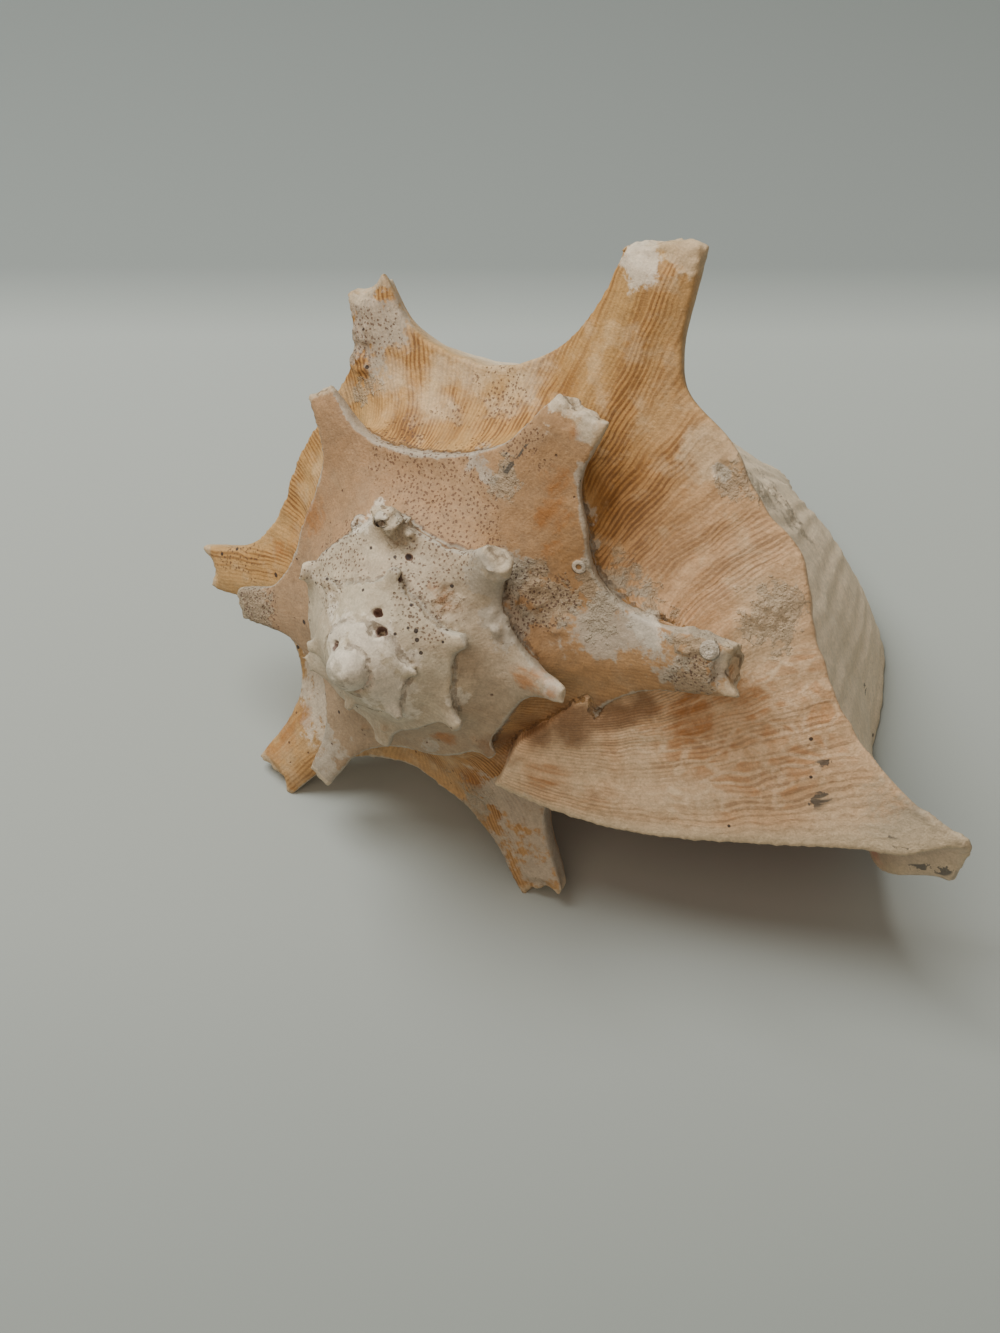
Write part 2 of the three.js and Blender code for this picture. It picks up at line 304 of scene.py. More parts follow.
# %% [markdown]
# Now the law is complete: growth angle and place across give a point of the skin. The inside of the wall is
# the plain skin moved inwards by the wall's thickness, because a conch fills its spines as it grows, and it
# also thickens the wall in the crease under them. Only the wing tip is still open below. It is a flat plate
# a few millimetres thick, so there the inside follows the spine and the wall is thin. The lip's edge is
# rounded.

# %% Skin and inside
WALL, LIP_WALL, WING_WALL = 4.5, 6.0, 2.2
CREASE_FILL, CREASE_WIDTH = 0.8, 0.08
LIP_ROUNDING = 3.0
WING_OPEN, WING_PLATE, WING_WIDTH = (62, 82), (60, 80), 0.4
NARROWEST_RAMP = 20                # mm, for the reach of the spines over the ramp
OLD_SPINE_WEB = 0.9                # how much of the spines of the whorl before shows through the ramp
TURN_STEP, ACROSS_STEP = 1, 0.02   # for the slopes of the skin


def skin(turn, across, bent=1.0):
    """A point of the skin, with its spines grown out by a share from 0 to 1."""
    edge_turn, edge_radius, edge_along = lip_edge(across)
    grown = np.maximum(turn, 0) / LIP_TURN
    clock = turn + (edge_turn - LIP_TURN) * grown**1.5
    radius, along = outline(clock, across)
    plain_radius, plain_along = outline(edge_turn, across)
    flare = grown ** (1.5 + 1.2 * ease(across, 1, 1.25))
    radius = radius + (edge_radius - plain_radius) * flare
    along = along + (edge_along - plain_along) * flare
    if np.any(bent):
        ramp_width = np.hypot(shoulder_radius(turn) - suture(turn)[0], NARROWEST_RAMP)
        side_length = FRONT_END - shoulder_drop(turn)
        away = np.where(across <= 1, (1 - across) * ramp_width, 0.8 * (across - 1) * side_length)
        own = bent * spine_lift(turn, away)
        web = np.where(across <= 1, OLD_SPINE_WEB * (1 - across) * (1 - ease(clock, *CLIMB)), 0)
        older = bent * web * spine_lift(clock - 360, across * ramp_width + 3)
        radius = radius + own[0] + older[0]
        along = along + own[1] + older[1]
        clock = clock + own[2] + older[2]
    return place(clock, radius, along)


def hump(across, width):
    """1 at the shoulder, falling off softly to both sides of it."""
    return np.exp(-(((across - 1) / width) ** 2))


def inside(turn, across):
    """A point of the inside of the wall."""
    part = ease(turn, *WING_OPEN)
    higher, lower = np.minimum(across + ACROSS_STEP, 2), np.maximum(across - ACROSS_STEP, 0)
    growth = skin(turn + TURN_STEP, across, part) - skin(turn - TURN_STEP, across, part)
    over = skin(turn, higher, part) - skin(turn, lower, part)
    inward = np.cross(over, growth)
    inward = inward / np.linalg.norm(inward, axis=-1, keepdims=True)
    wall = mix(WALL, LIP_WALL, ease(turn, 0, LIP_TURN))
    wall = wall * (1 + CREASE_FILL * hump(across, CREASE_WIDTH))
    wall = wall * np.sqrt(np.clip((LIP_TURN - turn) / LIP_ROUNDING, 0.25, 1))
    wall = mix(wall, WING_WALL, ease(turn, *WING_PLATE) * hump(across, WING_WIDTH))
    return skin(turn, across, part) + inward * wall[..., None]


def lay_down(points):
    """Turns points from the shell's own axes to the way that it lies, its axis pitched down."""
    x, y, z = points[..., 0], points[..., 1], points[..., 2]
    cosine, sine = math.cos(AXIS_PITCH), math.sin(AXIS_PITCH)
    return np.stack([x, cosine * y + sine * z, cosine * z - sine * y], -1) + APEX


tip_x = lay_down(skin(np.float64(LIP_TURN), np.float64(1.0)))[0]
print("wing tip at x", round(float(tip_x), 1), "mm")


# %% [markdown]
# A whorl is a sheet that has grown. It could be lofted from hand-drawn sections, but a grid is simpler: one
# side of the grid is growth, the other is the way across. The whole grid is extruded once, which gives a
# closed slab, and each of its two faces is then laid on its own surface: the skin, and the inside of the
# wall. The growth angle and the way across stay on every vertex as attributes, so two helpers come first:
# one reads the values of all vertices, and one keeps them.

# %% Grow a closed slab from a grid
def read(mesh, name, size=1):
    """Values of an attribute, or of a vertex property, as an array."""
    if size == 3:
        values = np.zeros(len(mesh.vertices) * 3)
        mesh.vertices.foreach_get(name, values)
        return values.reshape(-1, 3)
    values = np.zeros(len(mesh.vertices))
    mesh.attributes[name].data.foreach_get("value", values)
    return values


def keep(mesh, name, values):
    """Keeps one value for each vertex of the mesh as an attribute."""
    if name in mesh.attributes:
        mesh.attributes.remove(mesh.attributes[name])
    mesh.attributes.new(name, "FLOAT", "POINT").data.foreach_set("value", values)


def grown_slab(name, turns, acrosses, under):
    """A closed slab between the skin and another surface, one quad for each step both ways."""
    bm = bmesh.new()
    bmesh.ops.create_grid(bm, x_segments=len(turns) - 1, y_segments=len(acrosses) - 1, size=0.5)
    under_layer = bm.verts.layers.float.new("inner")
    slab = bmesh.ops.extrude_face_region(bm, geom=bm.faces[:], use_keep_orig=True)
    for part in slab["geom"]:
        if isinstance(part, bmesh.types.BMVert):
            part[under_layer] = 1
    mesh = bpy.data.meshes.new(name)
    bm.to_mesh(mesh)
    bm.free()
    flat, inner = read(mesh, "co", 3), read(mesh, "inner")
    turn = np.interp(flat[:, 0] + 0.5, np.linspace(0, 1, len(turns)), turns)
    across = np.interp(flat[:, 1] + 0.5, np.linspace(0, 1, len(acrosses)), acrosses)
    points = np.where(inner[:, None] > 0.5, under(turn, across), skin(turn, across))
    mesh.vertices.foreach_set("co", (lay_down(points) * MM).ravel())
    keep(mesh, "turn", turn)
    keep(mesh, "across", across)
    print(name, len(mesh.vertices), "vertices")
    return mesh


CORE = 0.03                        # the core's share of the whorl's own radius


def near_axis(turn, across):
    """The middle of the solid early whorls, a thin line beside the axis."""
    on_skin = skin(turn, across)
    centre = axis_at(on_skin[..., 1])
    return centre + CORE * (on_skin - centre)


# %% [markdown]
# Two slabs make the shell. The last whorl is a real wall, with the mouth open under it. The whorls before
# it are filled, as nothing of their inside shows. The steps across are closest at the shoulder, where the
# spines bend the skin most, and get longer towards the front end.

# %% The whorls
ramp_steps = np.linspace(0, 1, 61)
side_steps = 1 + np.linspace(0, 1, 121)[1:] ** 1.25
last_whorl = grown_slab("last_whorl", np.linspace(HOLLOW_START - 5, LIP_TURN, 241),
                        np.concatenate([ramp_steps, side_steps]), inside)
core_turns = np.linspace(FIRST_TURN, HOLLOW_START, 1011)
core_steps = np.concatenate([np.linspace(0, 1, 41), 1 + np.linspace(0, 1, 41)[1:] ** 1.5])
old_whorls = grown_slab("old_whorls", core_turns, core_steps, near_axis)
for mesh, age in ((last_whorl, 0.0), (old_whorls, 1.0)):
    keep(mesh, "old", np.full(len(mesh.vertices), age))
print("grown after", round(time.time() - started, 1), "s")

# %% [markdown]
# The first shell of a snail is a smooth dome. Here it is worn to a blunt nub on the apex. A sphere sunk into
# the first whorl is enough for it, because the fusing rounds its foot, and the wear further down dents it.

# %% First shell
FIRST_SHELL_RADIUS, FIRST_SHELL_ALONG = 6.2, 6.5
bm = bmesh.new()
bmesh.ops.create_uvsphere(bm, u_segments=48, v_segments=24, radius=FIRST_SHELL_RADIUS * MM)
nub_centre = lay_down(np.array([0.0, FIRST_SHELL_ALONG, 0.0])) * MM
bmesh.ops.translate(bm, verts=bm.verts, vec=Vector(nub_centre))
first_shell = bpy.data.meshes.new("first_shell")
bm.to_mesh(first_shell)
bm.free()
for label, value in (("turn", FIRST_TURN), ("across", 1.0), ("inner", 0.0), ("old", 1.0)):
    keep(first_shell, label, np.full(len(first_shell.vertices), value))
print("first shell", 2 * FIRST_SHELL_RADIUS, "mm across")

# %% [markdown]
# The slabs pass through each other where whorls overlap. Boolean joins of such dense, nearly parallel
# sheets often fail. A voxel remesh is safer: it takes everything that is inside any slab as one solid and
# wraps one even skin around it, which also rounds the sutures a little, as real shell is. The voxels leave
# small steps on slanting edges, and three light smoothings take them out.

# %% Fuse to one skin
VOXEL, SMOOTHINGS = 0.85, 3


def joined(name, meshes):
    """One object from several meshes, with their attributes."""
    bm = bmesh.new()
    for mesh in meshes:
        bm.from_mesh(mesh)
    whole = bpy.data.meshes.new(name)
    bm.to_mesh(whole)
    bm.free()
    return bpy.data.objects.new(name, whole)


def with_modifier(obj, kind, **settings):
    """A new mesh of the object after one modifier."""
    bpy.context.scene.collection.objects.link(obj)
    modifier = obj.modifiers.new(kind.lower(), kind)
    for key, value in settings.items():
        setattr(modifier, key, value)
    evaluated = obj.evaluated_get(bpy.context.evaluated_depsgraph_get())
    mesh = bpy.data.meshes.new_from_object(evaluated)
    bpy.data.objects.remove(obj)
    return mesh


grown = joined("grown", (last_whorl, old_whorls, first_shell))
grown_mesh = grown.data
fused = with_modifier(grown, "REMESH", mode="VOXEL", voxel_size=VOXEL * MM, adaptivity=0)
fused = with_modifier(bpy.data.objects.new("steps", fused), "SMOOTH", factor=0.5, iterations=SMOOTHINGS)
print("fused skin has", len(fused.vertices), "vertices after", round(time.time() - started, 1), "s")


# %% [markdown]
# The remesh may leave small closed pockets between whorls. They can't be seen, but they are stray faces in
# the solid, so only the largest connected skin is kept. Each vertex takes the lowest number among its
# neighbours until nothing changes, and then vertices with one number are connected.

# %% Keep the outer skin
def edge_ends(mesh):
    """The vertex at the first and at the second end of each edge."""
    ends = np.zeros(len(mesh.edges) * 2, int)
    mesh.edges.foreach_get("vertices", ends)
    return ends.reshape(-1, 2).T


def connected_parts(mesh):
    a, b = edge_ends(mesh)
    label = np.arange(len(mesh.vertices))
    while True:
        lower = np.minimum(label[a], label[b])
        update = label.copy()
        np.minimum.at(update, a, lower)
        np.minimum.at(update, b, lower)
        update = update[update]
        if np.array_equal(update, label):
            return label
        label = update


def only_largest(mesh):
    label = connected_parts(mesh)
    names, counts = np.unique(label, return_counts=True)
    stray = np.flatnonzero(label != names[counts.argmax()])
    bm = bmesh.new()
    bm.from_mesh(mesh)
    bm.verts.ensure_lookup_table()
    bmesh.ops.delete(bm, geom=[bm.verts[i] for i in stray], context="VERTS")
    bm.to_mesh(mesh)
    bm.free()
    print("parts", len(names), "stray vertices removed", len(stray))


only_largest(fused)
print("outer skin kept after", round(time.time() - started, 1), "s")


# %% [markdown]
# The fused skin has lost the growth angle. Each of its vertices looks up the nearest place on the grown
# slabs and takes the values from there, weighted between the corners of the triangle that it finds.

# %% Growth values for any skin
slab_bm = bmesh.new()
slab_bm.from_mesh(grown_mesh)
bmesh.ops.triangulate(slab_bm, faces=slab_bm.faces[:])
slab_tree = BVHTree.FromBMesh(slab_bm)
slab_corners = np.array([[v.index for v in face.verts] for face in slab_bm.faces])
slab_bm.free()
slab_points = read(grown_mesh, "co", 3)
slab_values = np.stack([read(grown_mesh, name) for name in ("turn", "across", "inner", "old")], -1)


def growth_values(points):
    """Growth angle, way across, inside of the wall, and old whorl, at points in metres."""
    hits = [slab_tree.find_nearest(Vector(point)) for point in points]
    nearest = np.array([hit[0] for hit in hits])
    corners = slab_corners[[hit[2] for hit in hits]]
    a, b, c = (slab_points[corners[:, k]] for k in range(3))
    whole = np.linalg.norm(np.cross(b - a, c - a), axis=1) + 1e-18
    weights = np.stack([
        np.linalg.norm(np.cross(b - nearest, c - nearest), axis=1),
        np.linalg.norm(np.cross(c - nearest, a - nearest), axis=1),
        np.linalg.norm(np.cross(a - nearest, b - nearest), axis=1),
    ], -1) / whole[:, None]
    return np.einsum("ij,ijk->ik", weights, slab_values[corners]).T


HALF_TURN = 180


def suture_line(mesh, turn):
    """1 where a whorl meets the one before it, because the growth angle jumps there, and 0 elsewhere."""
    a, b = edge_ends(mesh)
    jumps = np.abs(turn[a] - turn[b]) > HALF_TURN
    line = np.zeros(len(mesh.vertices))
    line[a[jumps]] = line[b[jumps]] = 1
    return line


fused_values = growth_values(read(fused, "co", 3))
print("growth values found after", round(time.time() - started, 1), "s")

# %% [markdown]
# The relief that is too small for the growth law is pushed in along the normals: dents and wear, the rough
# broken ends of the spines, and the holes that other animals bored. A displacement texture could do it, but
# the marks below need the same noise for their ragged outlines. So value noise on a seeded lattice gives the
# dents, and it is read at real sizes in millimetres.

# %% Noise
LATTICE = 48
lattice = np.random.default_rng(11).uniform(-1, 1, (LATTICE, LATTICE, LATTICE))


def dents(points, grain):
    """Smooth noise from -1 to 1 at points in millimetres, with lumps about as large as the grain."""
    scaled = points / grain
    corner = np.floor(scaled).astype(int)
    part = ease(scaled - corner, 0, 1)
    total = np.zeros(len(points))
    for step in np.ndindex(2, 2, 2):
        index = (corner + step) % LATTICE
        weight = np.prod(np.where(step, part, 1 - part), axis=1)
        total += weight * lattice[index[:, 0], index[:, 1], index[:, 2]]
    return total


print("noise from", round(float(lattice.min()), 2), "to", round(float(lattice.max()), 2))

# %% [markdown]
# The small marks of this shell are where its life left them: holes that sponges and worms bored, tube worms,
# crusts, glazed patches. Each is named by the pixel where the photograph shows it, and a ray from the camera
# finds the place on the skin, so that the mark sits on the surface seen from any side.
#
# Each shape has its own table: holes, lumps and rings. A line gives the pixel across and down, the radius,
# and the height above the skin, or with a minus the depth below it, in millimetres.

# %% Marks of a long life
def sight_tree(mesh):
    """The mesh's faces, sorted so that a ray finds the one it hits."""
    bm = bmesh.new()
    bm.from_mesh(mesh)
    tree = BVHTree.FromBMesh(bm)
    bm.free()
    return tree


fused_tree = sight_tree(fused)


def seen(tree, x, y):
    """The point of the skin, in millimetres, and the normal there, at a pixel of the photograph."""
    ray = Vector(sight_line(x, y)).normalized()
    spot, normal = tree.ray_cast(Vector(eye * MM), ray)[:2]
    if spot is None:
        return None
    return np.array(spot) / MM, np.array(normal)


HOLES = {
    "half-moon bore": (335, 645, 1.4, -2.4),
    "round bore": (378, 613, 1.2, -2.6),
    "large cavity": (375, 631, 2.2, -1.4),
    "cavity's deep end": (382, 631, 1.1, -3.2),
    "reddish bore": (402, 578, 1.1, -1.8),
    "bore above it": (408, 557, 0.9, -1.6),
    "left worm tube's mouth": (360, 524, 1.4, -2.6),
    "right worm tube's mouth": (383, 519, 1.1, -2.6),
    "first hole of the crust": (396, 543, 0.7, -1.2),
    "second hole of the crust": (405, 545, 0.8, -1.2),
}
LUMPS = {
    "crust by the worm tubes": (400, 534, 4.6, 2.2),
    "wall between the worm tubes": (371, 521, 2.6, 1.6),
    "knob's glaze": (503, 570, 5.5, 0.7),
    "cement below the knob": (500, 620, 4.0, 0.7),
    "cement ridge": (512, 600, 2.2, 1.3),
    "long cement ridge": (497, 632, 1.6, 1.2),
    "crust right of the knob": (535, 592, 4.5, 0.9),
    "crust on the ramp": (560, 625, 4.0, 0.6),
    "eroded hollow": (446, 602, 4.5, -1.0),
    "crust above the worm ring": (690, 636, 5.0, 0.9),
    "crust along the suture": (650, 612, 4.0, 0.9),
    "shoulder crust": (755, 483, 7.0, 0.8),
    "far shoulder crust": (785, 505, 8.0, 0.7),
    "chip on the ramp": (724, 472, 2.6, -0.8),
    "lump under the far crest": (762, 610, 5.0, 0.6),
    "blister": (429, 745, 2.8, 0.9),
    "rough brown patch": (470, 785, 5.0, 0.6),
    "rough patch below it": (476, 802, 3.0, -1.0),
    "fin": (366, 728, 1.3, 1.8),
    "small fin": (385, 728, 1.2, 1.0),
    "thin fin by the suture": (474, 742, 1.4, 1.2),
    "lump on the tall horn": (362, 335, 4.0, 1.0),
    "low lump on the tall horn": (360, 365, 4.0, 1.2),
    "nub's left lump": (310, 700, 2.4, 0.5),
    "nub's right lump": (342, 675, 2.6, 0.4),
    "nub's hollow": (333, 690, 2.2, -0.4),
}
RINGS = {
    "left worm tube": (360, 524, 2.0, 1.6),
    "right worm tube": (383, 519, 1.7, 1.5),
    "worm scar": (710, 650, 2.0, 0.6),
    "inner worm scar": (710, 650, 1.0, 0.4),
    "old scar": (579, 567, 1.3, 0.4),
}
TUBE_WALL = 0.6


def found(tree, marks):
    """The marks that the camera sees: place on the skin, normal there, and the mark's own sizes."""
    placed = []
    for name, (x, y, *sizes) in marks.items():
        hit = seen(tree, x, y)
        if hit is None:
            print("no skin at", name)
        else:
            placed.append((*hit, *sizes))
    return placed


holes, lumps, rings = (found(fused_tree, marks) for marks in (HOLES, LUMPS, RINGS))
print(len(holes), "holes,", len(lumps), "lumps,", len(rings), "rings")


def spread(points, centre, radius, ragged=0.3):
    """Distance from a mark's centre in radii, with a ragged outline."""
    distance = np.linalg.norm(points - centre, axis=1) / radius
    return distance + ragged * dents(points, 0.8 * radius)


# %% [markdown]
# The horns end where they broke. A broken end is not a flat cut: it is chipped round the rim, and often
# hollow in the middle, where the softer filling has worn out. The chips pull the skin back along the horn.
# The tallest horn broke at a slant, lower on the left as the camera sees it.

# %% Broken ends
SMALLEST_BREAK, SMALLEST_END = 2.5, 3.5
USUAL_HOLLOW = 0.3                 # depth of the worn middle, in radii of the end
CHIP = 0.16                        # depth of the chips, in radii of the end


def horn_tips():
    """Centre of the tip, direction of the horn, and radius, hollow and slant of its end, for each horn."""
    tips = []
    for spine in SPINES:
        if spine["tip"] >= SMALLEST_BREAK:
            clock, along = np.float64(spine["turn"] + spine.get("lean", 0)), np.float64(spine["along"])
            tip = lay_down(place(clock, np.float64(spine["reach"]), along))
            root = lay_down(place(clock, np.float64(0.6 * spine["reach"]), along))
            direction = (tip - root) / np.linalg.norm(tip - root)
            radius = max(spine["tip"], SMALLEST_END)
            tips.append((tip, direction, radius, spine.get("hollow", USUAL_HOLLOW), spine.get("slant", 0)))
    return tips


TIPS = horn_tips()


def at_tip(points, tip, direction, radius):
    """How near the points are to a broken end, and how near to the middle of it."""
    off = points - tip
    below = -off @ direction
    sideways = np.linalg.norm(off + below[:, None] * direction, axis=1)
    near = ease(below, 0.9 * radius + 3, 0) * (sideways < 1.9 * radius)
    return near, ease(sideways / radius, 0.95, 0.3)


def chipped(points):
    """Shift of the points by the chips at the broken ends, in millimetres."""
    shift = np.zeros_like(points)
    for tip, direction, radius, depth, slant in TIPS:
        near, middle = at_tip(points, tip, direction, radius)
        rough = CHIP * radius * (1 + 0.9 * dents(points, 0.45 * radius) + 0.5 * dents(points + 31, 1.6))
        hollow = depth * radius * middle
        leftwards = ease((points - tip) @ view_right / radius, 0.9, -1.3)
        shift -= (near * (rough + hollow + slant * leftwards))[:, None] * direction
    return shift


print(len(TIPS), "broken ends")


# %% [markdown]
# Relief of the whole skin, from large to small. The early whorls have lain in the sea the longest and are
# dented all over. The last whorl still shows its growth folds and fine spiral cords. The folds are given by
# length grown, not by angle, so that they stay as far apart on a small whorl as on a large one. The suture
# is cut in as a fine groove, because the voxels have rounded it.

# %% Relief
GROOVE = 0.5
DENTS = [(0.55, 11, 0), (0.25, 4.5, 9), (0.10, 1.8, 5)]      # depth and grain in mm, and shift of the noise
FOLD, FOLD_MM = 0.16, 8.5
FLANGE_FOLD, FLANGE_FOLD_MM, FLANGE_DENT = 0.14, 6.0, 0.35
CORD, CORDS = 0.10, 26
UNDER_GROUND = (0, 0, -9)          # the feet may go this far below the ground before they are cut flat
LENGTH_TURNS = np.arange(FIRST_TURN, LIP_TURN + 60)
growth_rate = np.radians(1) * (shoulder_radius(LENGTH_TURNS) + lip_flare(LENGTH_TURNS))
LENGTHS = np.cumsum(growth_rate)


def length_grown(turn):
    return np.interp(turn, LENGTH_TURNS, LENGTHS)


def relief(points, normals, turn, across, inner, old):
    """Shift of the points of the skin, in millimetres."""
    outer = 1 - ease(inner, 0.2, 0.8)
    length = length_grown(turn)
    worn = mix(0.25, 1.0, old) * mix(1.0, 0.8, ease(turn, -700, -400))
    height = worn * sum(depth * dents(points + shift, size) for depth, size, shift in DENTS)
    sway = dents(points, 16)
    fold = np.sin(2 * np.pi * length / FOLD_MM + 2.2 * sway)
    height += FOLD * (1 - old) * fold * ease(across, 0.05, 0.3)
    flange = (1 - old) * ease(across, 1.02, 1.1) * ease(turn, 30, 60)
    flange_fold = np.sin(2 * np.pi * length / FLANGE_FOLD_MM + 2 * sway)
    height += flange * (FLANGE_FOLD * flange_fold + FLANGE_DENT * dents(points, 9))
    cords = np.sin(2 * np.pi * across * CORDS) * (1 - old) * ease(across, 1.05, 1.2)
    height += CORD * cords
    for centre, _, radius, depth in holes:
        height += depth * ease(spread(points, centre, radius, 0.15), 1.1, 0.7)
    for centre, _, radius, rise in lumps:
        inside_mark = ease(spread(points, centre, radius), 1.15, 0.55)
        height += rise * inside_mark * (0.7 + 0.8 * dents(points, 1.5))
    for centre, _, radius, rise in rings:
        distance = np.linalg.norm(points - centre, axis=1)
        height += rise * np.exp(-(((distance - radius) / TUBE_WALL) ** 2))
    return chipped(points) + normals * (height * outer)[:, None]


fused_points = read(fused, "co", 3) / MM
fused_normals = read(fused, "normal", 3)
moved = fused_points + relief(fused_points, fused_normals, *fused_values)
moved -= GROOVE * suture_line(fused, fused_values[0])[:, None] * fused_normals
moved = np.clip(moved, np.array(CAD_LOW) / MM + UNDER_GROUND, np.array(CAD_HIGH) / MM)
fused.vertices.foreach_set("co", (moved * MM).ravel())
print("relief moved the skin by up to", round(float(np.abs(moved - fused_points).max()), 1), "mm, after",
      round(time.time() - started, 1), "s")

# %% [markdown]
# The shell has worn flat where it stands on two horns, its lip and its front end. The skin is cut at the
# ground and the cuts are filled. Then the mesh is thinned: a collapse keeps the vertices where the surface
# bends, at the marks and edges, and takes them from the smooth stretches.

# %% Worn feet and final mesh
TRIANGLE_LIMIT = 197000


def cut_at_ground(mesh):
    """Cuts away what lies below the ground and fills the cuts."""
    bm = bmesh.new()
    bm.from_mesh(mesh)
    geometry = bm.verts[:] + bm.edges[:] + bm.faces[:]
    bmesh.ops.bisect_plane(bm, geom=geometry, dist=1e-7, plane_co=(0, 0, 0), plane_no=(0, 0, -1),
                           clear_outer=True)
    rim = [edge for edge in bm.edges if edge.is_boundary]
    bmesh.ops.holes_fill(bm, edges=rim, sides=0)
    bmesh.ops.triangulate(bm, faces=bm.faces[:])
    bm.to_mesh(mesh)
    bm.free()
    print("cut flat at the ground,", len(rim), "rim edges")


cut_at_ground(fused)
share = TRIANGLE_LIMIT / len(fused.polygons)
shell_mesh = with_modifier(bpy.data.objects.new("thinned", fused), "DECIMATE", ratio=min(1, share))
kept_inside = np.clip(read(shell_mesh, "co", 3), CAD_LOW, CAD_HIGH)
shell_mesh.vertices.foreach_set("co", kept_inside.ravel())
shell_mesh.shade_smooth()
shell = bpy.data.objects.new("shell", shell_mesh)
bpy.context.scene.collection.objects.link(shell)
print("skin has", len(shell_mesh.polygons), "triangles after", round(time.time() - started, 1), "s")

# %% [markdown]
# The shell is not weathered evenly. Where it is grey, stained, crusted, bleached and so on could be painted
# by hand on the mesh. Here each patch is a soft blob, named by its pixel as the marks are, with a radius in
# millimetres, because a list is easy to read and to change. The blobs of one kind together are one field.

